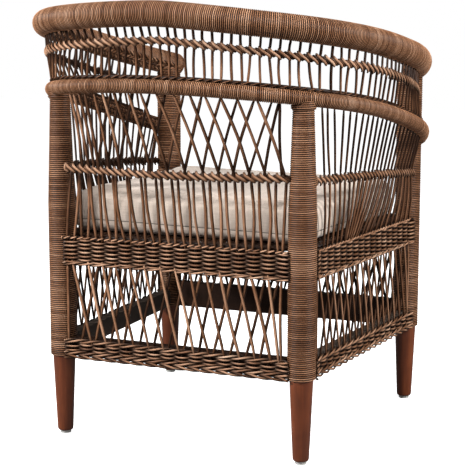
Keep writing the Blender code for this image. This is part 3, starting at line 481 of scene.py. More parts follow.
def linen(name):
    """Linen with slubs and a dark seam, partly its stitching and partly painted shade in its groove, its
    threads in plan on top and below and upright on the sides.
    """
    m, tree, shader = blank(name)
    spot = add(tree, "TexCoord").outputs["Object"]
    x, y, z = add(tree, "SeparateXYZ", {0: spot}).outputs
    facing = add(tree, "SeparateXYZ", {0: add(tree, "NewGeometry").outputs["Normal"]}).outputs[2]
    lying = math_node(tree, "GREATER_THAN", math_node(tree, "ABSOLUTE", facing, 0.0), 0.62)
    second = add(tree, "Mix", {0: lying, 2: z, 3: y}).outputs[0]
    first = add(tree, "Mix", {0: lying, 2: math_node(tree, "ADD", x, y), 3: x}).outputs[0]
    waves = []
    for value in (first, second):
        wobble = math_node(tree, "MULTIPLY_ADD", noise(tree, spot, 180.0), 0.0007, value)
        waves.append(math_node(tree, "SINE", math_node(tree, "MULTIPLY", wobble, 2 * math.pi / 0.0011), 0.0))
    thread = math_node(tree, "MULTIPLY_ADD", math_node(tree, "MULTIPLY", *waves), 0.5, 0.5)
    slub = noise(tree, add(tree, "Mapping", {0: spot, 3: (40, 420, 420)}).outputs[0], 1.0, 3.0)
    slub_b = noise(tree, add(tree, "Mapping", {0: spot, 3: (420, 40, 60)}).outputs[0], 1.0, 3.0)
    soil = noise(tree, spot, 7.0)
    level = math_node(tree, "ADD", math_node(tree, "MULTIPLY", thread, 0.25),
                      math_node(tree, "MULTIPLY", slub, 0.3))
    level = math_node(tree, "ADD", level, math_node(tree, "MULTIPLY", slub_b, 0.3))
    level = math_node(tree, "ADD", level, math_node(tree, "MULTIPLY", soil, 0.15), clamp=True)
    stops = ((0.28, (0.43, 0.34, 0.275)), (0.5, (0.60, 0.495, 0.415)), (0.72, (0.73, 0.62, 0.54)))
    level_z = math_node(tree, "MULTIPLY_ADD", x, -LEFT_UP / (2 * CUSHION_BACK), z)
    from_seam = math_node(tree, "SUBTRACT", level_z, CUSHION_Z + SEAM_UP + LEFT_UP / 2)
    from_seam = math_node(tree, "ABSOLUTE", from_seam, 0.0)
    # The seam line darkened: partly its stitching, partly painted shade in the seam's groove
    seam_stitch_and_shade = add(tree, "MapRange", {0: from_seam, 1: 0.0004, 2: 0.0014, 3: 0.22, 4: 1.0}).outputs[0]
    tint = add(tree, "Mix", {0: 1.0, 6: ramp(tree, level, stops), 7: seam_stitch_and_shade}, data_type="RGBA",
               blend_type="MULTIPLY")
    tree.links.new(tint.outputs[2], shader.inputs["Base Color"])
    shader.inputs["Roughness"].default_value = 0.92
    shader.inputs["Sheen Weight"].default_value = 0.15
    bump = add(tree, "Bump", {"Strength": 0.4, "Distance": 0.0006, "Height": level})
    tree.links.new(bump.outputs[0], shader.inputs["Normal"])
    return m


def plastic(name, rgb, dark):
    """Moulded plastic, scuffed where it meets the floor."""
    m, tree, shader = blank(name)
    spot = add(tree, "TexCoord").outputs["Object"]
    scuff = noise(tree, spot, 320.0, 5.0, 0.7)
    tree.links.new(ramp(tree, scuff, ((0.35, dark), (0.6, rgb))), shader.inputs["Base Color"])
    surface(tree, shader, scuff, (0.65, 0.42), 0.2, 0.0003)
    return m


# The third number sets how sharply pooled stain and painted shade darken the grooves and the sides turned away
BINDING = cane("cane_binding_look", ((0.1, (0.080, 0.027, 0.010)), (0.45, (0.285, 0.119, 0.052)),
                                     (0.75, (0.53, 0.262, 0.138)), (1.0, (0.72, 0.41, 0.25))), 2.6, 6.0, 0.46)
STRANDS = cane("cane_strand_look", ((0.1, (0.026, 0.009, 0.003)), (0.45, (0.200, 0.088, 0.042)),
                                    (0.75, (0.46, 0.252, 0.150)), (1.0, (0.66, 0.42, 0.28))), 1.5, 90.0, 0.46)
WEAVE = cane("woven_cane_look", ((0.1, (0.034, 0.012, 0.005)), (0.45, (0.240, 0.105, 0.049)),
                                 (0.75, (0.55, 0.300, 0.178)), (1.0, (0.76, 0.49, 0.33))), 2.8, 90.0, 0.44)
WOOD = grained("turned_wood_look", ((0.25, (0.040, 0.008, 0.002)), (0.5, (0.108, 0.024, 0.006)),
                                    (0.75, (0.21, 0.054, 0.016))), 2, 0.42, 1.0, 0.3)
# The same dark board in two copies: the one along x painted darker as shade on the front and back boards, the
# one along y painted lighter as the sheen and light on the side boards
BOARD_SHADED_X = grained("dark_board_shaded_look_x", ((0.25, (0.008, 0.003, 0.002)), (0.7, (0.034, 0.015, 0.008))),
                  0, 0.75, 0.6, 0.15)
BOARD_LIT_Y = grained("dark_board_lit_look_y", ((0.25, (0.030, 0.021, 0.016)), (0.7, (0.100, 0.074, 0.058))),
                  1, 0.75, 0.6, 0.15)
DOWEL = grained("dowel_wood_look", ((0.25, (0.30, 0.18, 0.09)), (0.75, (0.55, 0.38, 0.22))), 2, 0.55, 1.0)
GLIDE = plastic("glide_look", (0.55, 0.55, 0.52), (0.26, 0.25, 0.23))
LINEN = linen("linen_look")

# Carried-over solids
for name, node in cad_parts.items():
    look = None
    if name.startswith("glide_"):
        look = GLIDE
    elif name.startswith(("dowel_", "pin_")):
        look = DOWEL
    elif name.startswith(("seat_rail_", "base_rail_", "seat_bearer_")):
        look = BOARD_SHADED_X if name.endswith(("_back", "_front")) else BOARD_LIT_Y
    if look:
        for place in node.material_slots:
            place.material = look


def rail_place(bend, turn):
    """Points on a wound rail and its blunt ends, for Net.wind, and the number of turns that it takes."""
    ws = np.linspace(0, 2, 2401)
    line = bend.at(ws)
    reach = run(line)
    dome = END_DOME * bend.radius(0)
    total = reach[-1] + 2 * dome
    turns = int(round(total / turn))

    def place(q, a, drop):
        s = np.clip(q / turns, 0, 1) * total - dome
        w = np.interp(s, reach, ws)
        past = np.maximum(np.maximum(-s, s - reach[-1]), 0) / dome
        r = bend.radius(w) * np.maximum(1 - (0.985 * past) ** 2, 0) ** (END_BLUNT / 2) - drop
        c = bend.at(w) + bend.along(w) * (np.minimum(s, 0) + np.maximum(s - reach[-1], 0))[..., None]
        side = bend.out(w)
        lift = np.cross(bend.along(w), side)
        lift = lift * np.sign(lift[..., 2:3])
        return c + side * (r * np.cos(a))[..., None] + lift * (r * np.sin(a))[..., None]

    return place, turns


def turn_tones(turns, mean):
    """A tone for each turn, uneven from turn to turn and drifting a little along the winding."""
    knots = np.arange(0, turns + 40, 30)
    drift = np.interp(np.arange(turns + 3), knots, rng.standard_normal(len(knots)))
    return np.clip(mean + 0.05 * drift + 0.17 * rng.standard_normal(turns + 3), 0.34, 0.92)


# Wound rails, with three twined rows along the inside of each
for name, bend, turn, sides, level, first in (("top_rail", top, RAIL_TURN, RAIL_SIDES, 0.50, 8),
                                              ("lower_rail", low, LOW_TURN, LOW_SIDES, 0.22, -36)):
    place, turns = rail_place(bend, turn)
    net = Net()
    net.wind(place, turns, sides, TURN_DEPTH, turn_tones(turns, 0.63))
    net.piece(name + "_binding", BINDING, "cane_binding", name)
    ws = np.arange(0.012, 1.988, 0.0046 / bend.half)
    net = Net()
    for row in range(3):
        below = math.radians(first) + row * INNER_ROW / bend.q["back_r"]
        face = -bend.out(ws) * math.cos(below) - UP * math.sin(below)
        line = bend.at(ws) + face * (bend.radius(ws) + 0.0004)[:, None]
        net.rope(line, face, 2, 0.0230, 0.0028, 0.0012, 0.0044, 0.0024, level, 1 if row % 2 else -1)
    net.piece(name + "_inner_rows", STRANDS, "cane_strands")

# Posts with turned feet, and their bindings
for name, post in POSTS.items():
    back = name.startswith("back")
    bend = low if back else top
    w = bend.nearest(post, 0, 1) if post[0] < 0 else bend.nearest(post, 1, 2)
    over, reach, way = bend.at(w), float(bend.radius(w)), bend.out(w)
    crown = over[2] - (BACK_CROWN if back else FRONT_CROWN)
    core = BIND_R - BIND_T
    collar_z = over[2] - reach - COLLAR_H
    neck_z = collar_z - COLLAR_STEP - BACK_NECK_H
    toe_r, toe_z = FOOT_R + 0.0008, GLIDE_H + 0.004
    profile = [(FOOT_R - 0.0012, GLIDE_H), (FOOT_R, GLIDE_H + 0.0012), (toe_r, toe_z)]
    profile += [(toe_r + (FOOT_TOP_R - toe_r) * t, toe_z + (FOOT_TOP_Z - toe_z) * t)
                for t in np.linspace(0.1, 1, 10)]
    top_r = BACK_NECK_R - BIND_T if back else core
    profile += [(core, FOOT_TOP_Z + 0.006), (core, BACK_TAPER_Z), (top_r, neck_z), (top_r, crown)]
    ring = np.linspace(0, 2 * np.pi, POST_SIDES, endpoint=False)
    pts = np.stack([post + np.stack([r * np.cos(ring), r * np.sin(ring), np.full(POST_SIDES, z)], -1)
                    for r, z in profile])
    rows = len(pts)
    foot = np.arange(POST_SIDES)[None, ::-1]
    head = np.arange((rows - 1) * POST_SIDES, rows * POST_SIDES)[None]
    net = Net()
    net.add(pts, [tube(rows, POST_SIDES), foot, head], np.zeros(pts.shape), np.ones(pts.shape[:2]))
    net.piece("turned_post_" + name, WOOD, "turned_wood", "post_" + name)

    outline = [(FOOT_TOP_Z + 0.0006, BIND_R - 0.001), (FOOT_TOP_Z + 0.003, BIND_R)]
    if back:
        outline += [(BACK_TAPER_Z, BIND_R), (neck_z, BACK_NECK_R), (collar_z - COLLAR_STEP, BACK_NECK_R),
                    (collar_z, COLLAR_R), (crown, COLLAR_R)]
    else:
        outline += [(crown, BIND_R)]
    heights, radii = np.array(outline).T
    turns = int(round((heights[-1] - heights[0]) / LEG_TURN))

    def leg_place(q, a, drop):
        z = heights[0] + np.clip(q / turns, 0, 1) * (heights[-1] - heights[0])
        r = np.interp(z, heights, radii) - drop
        x, y = post[0] + r * np.cos(a), post[1] + r * np.sin(a)
        d = (x - over[0]) * way[0] + (y - over[1]) * way[1]
        under = over[2] - np.sqrt(np.maximum(reach ** 2 - d ** 2, 0)) + 0.001
        return np.stack([x, y, np.where(np.abs(d) < reach, np.minimum(z, under), z)], -1)

    net = Net()
    net.wind(leg_place, turns, LEG_SIDES, TURN_DEPTH, turn_tones(turns, 0.54))
    net.piece("post_winding_" + name, BINDING, "cane_binding", "binding_" + name)


def lean(size):
    return size * float(rng.standard_normal())


def uneven(width):
    return width * (1 + lean(0.06))


def tone(mean, spread=0.1):
    return mean + spread * float(rng.standard_normal())


def band_off(plane, s):
    """Middle of a band from the line between the posts, where it laps outwards round them at its ends."""
    near = np.minimum(s, plane.length - s) - BAND_START
    return BAND_MID + BAND_LAP * np.clip(1 - near / BAND_RUN, 0, 1) ** 2


# One stroke of a braid: from above the line down to the right, as seen from outside
PLAIT = ((0.0004, 0.0088, 0.0008), (0.0024, 0.0050, 0.0028), (0.0075, 0.0012, 0.0040),
         (0.0140, -0.0030, 0.0036), (0.0185, -0.0062, 0.0014), (0.0205, -0.0085, -0.0010))
# One of the dark strokes between them, its dark tone painted shade in the braid's recess
BEHIND = ((0.0020, 0.0045, 0.0008), (0.0075, 0.0020, 0.0024), (0.0130, -0.0020, 0.0024), (0.0180, -0.0055, 0.0))
# One stroke of the twine on the lower rail, rising to the right
TWINE = ((0.0, -0.0020, 0.0005), (0.0045, -0.0014, 0.0026), (0.0120, 0.0016, 0.0028), (0.0180, 0.0030, 0.0))
# One stroke of a seat band's top edge, rising to the right
EDGE = ((0.0, -0.0022, -0.0010), (0.0030, -0.0012, 0.0022), (0.0100, 0.0010, 0.0030), (0.0140, 0.0020, 0.0))


def braid(net, line, out, pitch, level):
    """A braid along a line: a dark core, its strokes, and the darker ones between them; the core and the
    strokes between are painted dark as shade in the braid's recesses.
    """
    net.rope(line, out, 3, 3 * pitch, 0.0036, 0.0012, 0.0050, 0.0026, 0.08, -1)
    net.strokes(line, out, pitch, PLAIT, 0.0055, 0.0034, level)
    net.strokes(line, out, pitch, BEHIND, 0.0056, 0.0030, 0.16, pitch / 2)


# Gallery: upright strands, a braid across them and a twine along the lower rail
w_corner = low.nearest(POSTS["back_right"], 0.2, 1)
breaks = (GALLERY_START, w_corner, 2 - w_corner, 2 - GALLERY_START)
for label, w0, w1 in zip(("right", "back", "left"), breaks, breaks[1:]):
    pitch = GALLERY_PITCH if label == "back" else GALLERY_SIDE_PITCH
    count = int(round((w1 - w0) * gallery_line.half / pitch))
    net = Net()
    for k in range(count):
        w = w0 + (w1 - w0) * (k + 0.5) / count
        mid, along, out = gallery_line.at(w), gallery_line.along(w), gallery_line.out(w)
        head, foot = top.at(w) + along * lean(0.0015), low.at(w) + along * lean(0.0022)
        head = head + unit(mid - head) * (top.radius(w) - STRAND_IN)
        foot = foot + UP * (low.radius(w) - 0.001)
        mid = mid + along * lean(0.0008)
        knots = [head, head + (mid - head) * 0.55 + along * lean(0.0006), mid,
                 mid + (foot - mid) * 0.5 + along * lean(0.0008), foot]
        # Painted shade: each strand is darkened over its upper part, from the top rail down towards the braid
        tones_with_painted_shade = np.interp(np.arange(11), (0, 6, 8), (0.08, 0.10, tone(0.36)))
        net.sweep(spline(knots, 11), out, uneven(STRAND_W - 0.0006), STRAND_D, tones_with_painted_shade)
    net.piece("gallery_strands_" + label, STRANDS, "cane_strands", "gallery_" + label)
ends = GALLERY_START - GALLERY_LAP, 2 - GALLERY_START + GALLERY_LAP
ws = np.arange(*ends, BRAID_STEP / gallery_line.half)[::-1]
net = Net()
braid(net, gallery_line.at(ws), gallery_line.out(ws), GALLERY_PITCH, 0.70)
net.piece("gallery_braid", STRANDS, "cane_strands")
ws = np.arange(GALLERY_START, 2 - GALLERY_START, 0.0030 / low.half)[::-1]
line = low.at(ws) + UP * (low.radius(ws) + 0.0026)[:, None]
net = Net()
# A black core under the twine's strokes: painted shade in the gap over the lower rail
net.sweep(line, low.out(ws), 0.0080, 0.0036, 0.0, 0.1)
net.strokes(line, low.out(ws), GALLERY_PITCH, TWINE, 0.0022, 0.0020, 0.26)
net.piece("gallery_twine", STRANDS, "cane_strands")

# Back panel: crossing strands over a braid, upright strands under it
plane = planes["back"]


def back_braid(s):
    share = np.asarray(s) / plane.length
    return plane.at(s, BRAID_OUT + BACK_BOW * np.sin(np.pi * share), MID_Z + BRAID_SAG * (2 * share - 1) ** 2)


ws_back = np.linspace(w_corner, 2 - w_corner, 4000)
low_back = low.at(ws_back)
net = Net()
hi = plane.length - BIND_R - STRAND_CLEAR
for way, mean in ((-1, 0.12), (1, 0.46)):
    for s, end in FALLS if way > 0 else FALLS[BARE_FALLS:]:
        if way < 0:
            end = end - BACK_GAP
            s = end + BACK_CLIMB
        x = plane.at(min(s, hi), 0, 0)[0]
        w = float(ws_back[np.argmin(np.abs(low_back[:, 0] - x))])
        foot = back_braid(end) + plane.n * (way * LAYER)
        head = low.at(w)
        head = head + unit(foot - head) * (low.radius(w) - STRAND_IN) + plane.n * (way * LAYER)
        knots = [head, head + (foot - head) * 0.5 + plane.u * (way * 0.002 + lean(0.0012)), foot - UP * 0.004]
        # Painted shade: each crossing strand darkens towards its foot at the braid
        tones_with_painted_shade = np.interp(np.arange(9), (4.5, 6.5), (tone(mean), 0.10))
        net.sweep(spline(knots, 9), plane.n, uneven(STRAND_W), STRAND_D, tones_with_painted_shade)
uprights = list(UPRIGHTS)
for k in range(UPRIGHT_PAIRS):
    end = UPRIGHT_FOOT + UPRIGHT_PAIR * k
    drift = float(np.interp(k, *UPRIGHT_DRIFT))
    uprights += [(end - drift, end, 0.3 * drift), (end + UPRIGHT_GAP - drift / 4, end + UPRIGHT_GAP, 0.0055)]
uprights[-1] = (plane.length - UPRIGHT_LAST[0], plane.length - UPRIGHT_LAST[1], UPRIGHT_LAST[2])
for s, end, bow in uprights:
    head = back_braid(s) + UP * 0.004
    foot = plane.at(end, band_off(plane, end), SEAT_TOP - BEHIND_BAND)
    middle = back_braid(s) + (foot - back_braid(s)) * 0.5
    middle = middle + plane.u * (bow - (end - s) / 2 + lean(0.001)) + plane.n * (BACK_BOW * 0.25)
    # Painted shade: each upright darkens at its head, under the braid
    tones_with_painted_shade = np.interp(np.arange(9), (1, 2.6), (0.10, tone(0.46)))
    net.sweep(spline([head, middle, foot], 9), plane.n, uneven(STRAND_W), STRAND_D, tones_with_painted_shade)
net.piece("back_strands", STRANDS, "cane_strands", "back_panel")
net = Net()
ss = np.arange(BIND_R - BRAID_OVER_LEFT, plane.length - BIND_R + BRAID_OVER, BRAID_STEP)
braid(net, back_braid(ss), plane.n, MID_PITCH, 0.66)
net.piece("back_braid", STRANDS, "cane_strands")

# Side panels: upright strands through a braid
for key in ("right", "left"):
    plane = planes[key]
    length = plane.length

    def side_braid(t):
        t = np.asarray(t, float)
        ahead = t if key == "right" else 1 - t
        off = BRAID_OUT + SIDE_BULGE * np.maximum(np.sin(np.pi * t), 0) ** SIDE_BULGE_POWER
        z = SIDE_MID_BACK + (SIDE_MID_FRONT - SIDE_MID_BACK) * ahead ** SIDE_MID_POWER
        return plane.at(t * length, off, z)

    first, last = SIDE_FIRST / length, 1 - (BIND_R + 0.008) / length
    count = int(round((last - first) * length / SIDE_PITCH))
    ws_side = np.linspace(0.02, w_corner, 2400)
    low_side = low.at(ws_side)
    net = Net()
    for k in range(2 * count + 1):
        t = first + (last - first) * k / (2 * count)
        mid = side_braid(t)
        drawn = t + float(np.interp(t, *SIDE_DRAW))
        foot = plane.at(drawn * length + lean(0.0018), LATTICE_OUT, SEAT_TOP - BEHIND_BAND)
        if k % 2 == 0 or t > SIDE_DOUBLE:
            inner = plane.n * (0.002 * (k % 2))
            knots = np.array([mid + UP * 0.003, mid, (mid + foot) / 2 + plane.n * 0.003, foot]) - inner
            net.sweep(spline(knots, 10), plane.n, uneven(STRAND_W), STRAND_D, tone(0.08 if k % 2 else 0.34))
        if k % 2:
            continue
        tip = SIDE_LEAN[key] * math.sin(math.pi * t) ** 0.5 + float(np.interp(t * length, *SIDE_FIRST_LEAN))
        y = mid[1] - plane.u[1] * (tip + lean(0.0015))
        w = float(ws_side[np.argmin(np.abs(low_side[:, 1] - y))])
        head = low.at(w if key == "right" else 2 - w)
        head = head + unit(mid - head) * (low.radius(w) - STRAND_IN)
        knots = [head, (head + mid) / 2 + plane.u * lean(0.0012), mid]
        # Painted shade: each leaning strand is darkest at its head under the lower rail and darker again at the
        # braid
        tones_with_painted_shade = np.interp(np.arange(9), (0, 3, 6, 8), (0.02, 0.10, tone(0.24), 0.10))
        net.sweep(spline(knots, 9), plane.n, uneven(STRAND_W), STRAND_D, tones_with_painted_shade)
    net.piece("side_strands_" + key, STRANDS, "cane_strands", "side_panel_" + key)
    over = (BIND_R - BRAID_OVER) / length
    ts = np.arange(over, 1 - over, BRAID_STEP / length)
    net = Net()
    braid(net, side_braid(ts), plane.n, MID_PITCH, 0.60)
    net.piece("side_braid_" + key, STRANDS, "cane_strands")

# Crossing strands below the seat, the falling ones outside, with an upright one beside each post
for key, plane in planes.items():
    net = Net()
    lo, hi = BIND_R + STRAND_CLEAR, plane.length - BIND_R - STRAND_CLEAR
    pitch = LOWER_PITCH if key in ("back", "front") else LOWER_SIDE_PITCH
    count = int(round((hi - lo) / pitch))
    z0, z1 = base_tops[key] - BEHIND_BAND, SEAT_Z + BEHIND_BAND
    for way, mean in ((-1, 0.20), (1, 0.55)):
        for k in range(-3, count + 3):
            end = lo + pitch * k + LOWER_SHIFT + (LOWER_PAIR if way < 0 else 0.0) + lean(0.001)
            s = end - way * LOWER_SHIFT + lean(0.001)
            if way > 0 and s < hi - 0.018:
                end = min(end, hi - 0.005)
            if not (lo - 0.003 < s < hi + 0.003 and lo - 0.003 < end < hi + 0.003):
                continue
            off = LATTICE_OUT + way * LAYER
            knots = [plane.at(s, off, z1), plane.at((s + end) / 2 + lean(0.0014), off + 0.001, (z0 + z1) / 2),
                     plane.at(end, off, z0)]
            net.sweep(spline(knots, 8), plane.n, uneven(STRAND_W), STRAND_D, tone(mean))
    for s in (POST_STRANDS[0], plane.length - POST_STRANDS[1]):
        off = band_off(plane, s)
        knots = [plane.at(s, off, z1), plane.at(s + lean(0.001), off, 0.25), plane.at(s, off, z0)]
        net.sweep(spline(knots, 8), plane.n, STRAND_W, STRAND_D, tone(0.45))
    net.piece("lower_strands_" + key, STRANDS, "cane_strands", "lower_lattice_" + key)


def weave_band(net, plane, z_first, rows):
    """Rows of weavers, over one stake and under the next, from the lowest row up, and their stakes."""
    columns = int(round((plane.length - 2 * BAND_START) / COLUMN))
    width = (plane.length - 2 * BAND_START) / columns
    s = np.linspace(BAND_START, plane.length - BAND_START, columns * 6 + 1)
    for row in range(rows):
        wave = np.cos(np.pi * ((s - BAND_START) / width - 0.5 + row % 2))
        off = band_off(plane, s) + WEAVE_REACH * np.sign(wave) * np.abs(wave) ** 0.75
        z = z_first + WEAVER_ROW * row - 0.0010 * wave + 0.0003 * np.sin(9 * s + row)
        stroke = np.floor((s - BAND_START) / width).astype(int)
        tones = 0.58 + 0.10 * rng.standard_normal(columns + 3)
        # Painted shade where a weaver passes behind a stake, and painted light on the side that the turn faces
        net.sweep(plane.at(s, off, z), plane.n, 0.0042, 0.0030, tones[stroke], 0.5 + 0.5 * wave, painted_light_turn=0.6)
    z0, z1 = z_first - 0.003, z_first + WEAVER_ROW * rows + 0.001
    for k in range(columns):
        at = BAND_START + width * (k + 0.5)
        stake = plane.at(np.full(3, at), BAND_MID, np.linspace(z0, z1, 3))
        net.sweep(stake, plane.n, 0.0050, 0.0024, 0.08, 0.4)
    return width


# Woven bands round the seat and the base
for key, plane in planes.items():
    ss = np.arange(BAND_START, plane.length - BAND_START, 0.0042)
    mid = band_off(plane, ss)
    net = Net()
    width = weave_band(net, plane, SEAT_Z + 0.0055, 12)
    edge_line = plane.at(ss, mid, SEAT_Z + SEAT_BAND_H - 0.0026)
    net.rope(edge_line - UP * 0.0008, plane.n, 2, 2 * width, 0.0016, 0.0016, 0.0040, 0.0030, 0.10, 1)
    net.strokes(edge_line, plane.n, width / 2, EDGE, 0.0035, 0.0030, 0.64)
    hem_line = plane.at(ss, mid, SEAT_Z + 0.0024)
    net.rope(hem_line, plane.n, 3, 3 * width, 0.0024, 0.0032, 0.0038, 0.0030, 0.72, 1)
    net.piece("seat_weave_" + key, WEAVE, "woven_cane", "seat_band_" + key)
    crest = base_tops[key]
    net = Net()
    width = weave_band(net, plane, BASE_Z + 0.0135, int(round((crest - BASE_Z - 0.0220) / WEAVER_ROW)))
    for z, wide, level, rise in ((crest - 0.0052, 0.0044, 0.64, 1), (BASE_Z + 0.0083, 0.0042, 0.62, 1),
                                 (BASE_Z + 0.0016, 0.0044, 0.50, -1)):
        net.rope(plane.at(ss, mid, z), plane.n, 3, 3 * width, 0.0030, 0.0034, wide, 0.0032, level, rise)
    net.piece("base_weave_" + key, WEAVE, "woven_cane", "base_band_" + key)

# Seat panel: flat cane woven on a rim
SEAT_CUT = 0.0465           # how far the panel's corners are cut off round the posts
lean_x = (FRONT_X - BACK_X) / (BACK_Y - FRONT_Y) * SEAT_CUT
plan = [(BACK_X - SEAT_CUT, BACK_Y), (BACK_X + lean_x, BACK_Y - SEAT_CUT),
        (FRONT_X - lean_x, FRONT_Y + SEAT_CUT), (FRONT_X - SEAT_CUT, FRONT_Y)]
plan += [(-x, y) for x, y in reversed(plan)]
corners = np.array([(x, y, DECK_Z + DECK_T / 2) for x, y in plan])
net = Net()
for a, b in zip(corners, np.roll(corners, -1, axis=0)):
    way = unit(b - a) * 0.003
    net.sweep(np.linspace(a - way, b + way, 6), UP, 0.0130, 0.0074, tone(0.06, 0.02), sides=8, tip=0.9)


def span(value, axis):
    """Where the panel starts and ends along the other axis, at one value of x (axis 0) or y (axis 1)."""
    hits = []
    for a, b in zip(corners, np.roll(corners, -1, axis=0)):
        if (a[axis] - value) * (b[axis] - value) < 0:
            t = (value - a[axis]) / (b[axis] - a[axis])
            hits.append(a[1 - axis] + (b[1 - axis] - a[1 - axis]) * t)
    return (min(hits), max(hits)) if hits else None


PANEL_PITCH, PANEL_SWING = 0.0145, 0.0008
for axis in (0, 1):
    ends = corners[:, axis] / PANEL_PITCH
    for cell in range(math.ceil(ends.min()), math.floor(ends.max()) + 1):
        ends = span(cell * PANEL_PITCH, axis)
        if ends is None:
            continue
        c = np.arange(ends[0], ends[1], PANEL_PITCH / 2)
        swing = np.cos(np.pi * (c / PANEL_PITCH + cell + axis)) * PANEL_SWING
        path = np.zeros((len(c), 3))
        path[:, axis] = cell * PANEL_PITCH
        path[:, 1 - axis] = c
        path[:, 2] = DECK_Z + DECK_T - 0.0021 + swing
        # Painted shade where each strand dips under the crossing ones
        net.sweep(path, UP, 0.0120, 0.0011, tone(0.16, 0.05), 0.75 + 0.25 * swing / PANEL_SWING, sides=4)
net.piece("seat_weave_panel", WEAVE, "woven_cane", "seat_panel")

# Cushion
SIM_INSET = 0.0015          # the form starts this much smaller
SIM_CAP = 0.0070            # the simulation moves no point farther than this
VOXEL = 0.0060
SEAM_WIDE, SEAM_DEEP = 0.0020, 0.0012
BOWED = 0.0040              # how far the sides stand out between the corners
CORNER_OUT, CORNER_UP = 0.0065, 0.0050     # how far the corners stand out and up again after the simulation
# The form before the simulation: how far in from the sides, and the share of the height
FORM = ((0.036, 0.0), (0.010, 0.014), (0.003, 0.07), (0.0008, 0.15), (0.0, 0.35), (0.0006, 0.58),
        (0.003, 0.76), (0.010, 0.875), (0.028, 0.945), (0.070, 0.98), (0.14, 1.0))


def cushion_outline(inset):
    """Rounded trapezium in plan, with its sides bowed out a little between the corners."""
    rb, rf = (max(0.012, r - inset) for r in (CUSHION_BACK_CORNER, CUSHION_CORNER))
    xb, xf = CUSHION_BACK - inset, CUSHION_FRONT - inset
    yf, yb = CUSHION_Y[0] + inset, CUSHION_Y[1] - inset
    outline = []
    corners = ((xb - rb, yb - rb, rb, 0), (-xb + rb, yb - rb, rb, 90),
               (-xf + rf, yf + rf, rf, 180), (xf - rf, yf + rf, rf, 270))
    for cx, cy, r, start in corners:
        for k in range(9):
            a = math.radians(start + 90 * k / 8)
            outline.append((cx + r * math.cos(a), cy + r * math.sin(a)))
    dense = []
    for k, (p, q) in enumerate(zip(outline, outline[1:] + outline[:1])):
        steps = 14 if k % 9 == 8 else 1
        for t in range(steps):
            f = t / steps
            draw = BOWED * math.sin(math.pi * f) if steps > 1 else 0.0
            x, y = p[0] + (q[0] - p[0]) * f, p[1] + (q[1] - p[1]) * f
            size = math.hypot(q[1] - p[1], q[0] - p[0])
            dense.append((x + draw * (q[1] - p[1]) / size, y - draw * (q[0] - p[0]) / size))
    return dense


verts, faces = [], []
for inset, share in FORM:
    z = CUSHION_Z + 0.0012 + (CUSHION_H - 0.006) * share
    verts += [(x, y, z) for x, y in cushion_outline(inset + SIM_INSET)]
n = len(verts) // len(FORM)
for i in range(len(FORM) - 1):
    faces += [(i * n + k, i * n + (k + 1) % n, (i + 1) * n + (k + 1) % n, (i + 1) * n + k) for k in range(n)]
faces += [tuple(range(n))[::-1], tuple(range((len(FORM) - 1) * n, len(FORM) * n))]
mesh = bpy.data.meshes.new("cushion")
mesh.from_pydata(verts, [], faces)
cushion = bpy.data.objects.new("cushion", mesh)
scene.collection.objects.link(cushion)
bpy.context.view_layer.objects.active = cushion
cushion.select_set(True)
mesh.remesh_voxel_size = VOXEL
bpy.ops.object.voxel_remesh()


def read_points(data):
    co = np.zeros(len(data.vertices) * 3, np.float32)
    data.vertices.foreach_get("co", co)
    return co.reshape(-1, 3).astype(float)


start = read_points(cushion.data)
mod = cushion.modifiers.new("swell", "CLOTH")
mod.settings.quality = 6
mod.settings.mass = 0.25
mod.settings.tension_stiffness = 12
mod.settings.compression_stiffness = 12
mod.settings.bending_stiffness = 0.6
mod.settings.use_pressure = True
mod.settings.uniform_pressure_force = 4.0
mod.settings.effector_weights.gravity = 0
mod.point_cache.frame_start, mod.point_cache.frame_end = 1, 20
for f in range(1, 21):
    scene.frame_set(f)
shaped = cushion.evaluated_get(bpy.context.evaluated_depsgraph_get())
moved = read_points(shaped.to_mesh()) - start
shaped.to_mesh_clear()
cushion.modifiers.remove(mod)
scene.frame_set(1)
size = np.linalg.norm(moved, axis=1, keepdims=True)
start = start + moved * np.minimum(1, SIM_CAP / np.maximum(size, 1e-6))
start[:, 2] = np.clip(start[:, 2], CUSHION_Z, CUSHION_Z + CUSHION_H)
cushion.data.vertices.foreach_set("co", start.astype(np.float32).ravel())
sub = cushion.modifiers.new("smooth", "SUBSURF")
sub.levels = sub.render_levels = 1
done = bpy.data.meshes.new_from_object(cushion.evaluated_get(bpy.context.evaluated_depsgraph_get()))
cushion.modifiers.remove(sub)
cushion.data = done

# Seam, drawn in all the way round
co = read_points(done)
normals = np.zeros(len(done.vertices) * 3, np.float32)
done.vertices.foreach_get("normal", normals)
normals = normals.reshape(-1, 3)
pull = np.exp(-((co[:, 2] - CUSHION_Z - SEAM_UP) / SEAM_WIDE) ** 2) * (np.abs(normals[:, 2]) < 0.75)
co -= normals * (SEAM_DEEP * pull)[:, None]

# Corners that stand out and up, on a cushion that rises to the left
middle_y = sum(CUSHION_Y) / 2
near_x = np.clip(np.abs(co[:, 0]) / CUSHION_BACK * 2.2 - 1.2, 0, 1)
near_y = np.clip(np.abs(co[:, 1] - middle_y) / (CUSHION_Y[1] - CUSHION_Y[0]) * 4.4 - 1.2, 0, 1)
corner = near_x * near_y
co[:, 2] = np.maximum(co[:, 2], CUSHION_Z)
co[:, :2] += np.sign(co[:, :2] - (0, middle_y)) * (CORNER_OUT * corner)[:, None]
co[:, 2] += CORNER_UP * corner * np.clip((co[:, 2] - CUSHION_Z) / CUSHION_H * 2 - 1, 0, 1)
co[:, 2] += LEFT_UP * (co[:, 0] / CUSHION_BACK + 1) / 2 * np.clip((co[:, 2] - CUSHION_Z) / SEAM_UP, 0, 1)
done.vertices.foreach_set("co", co.astype(np.float32).ravel())
done.shade_smooth()
done.materials.append(LINEN)
scene.collection.objects.unlink(cushion)
settle(cushion, ("cushion_cover", "cushion_foam"), "cushion")

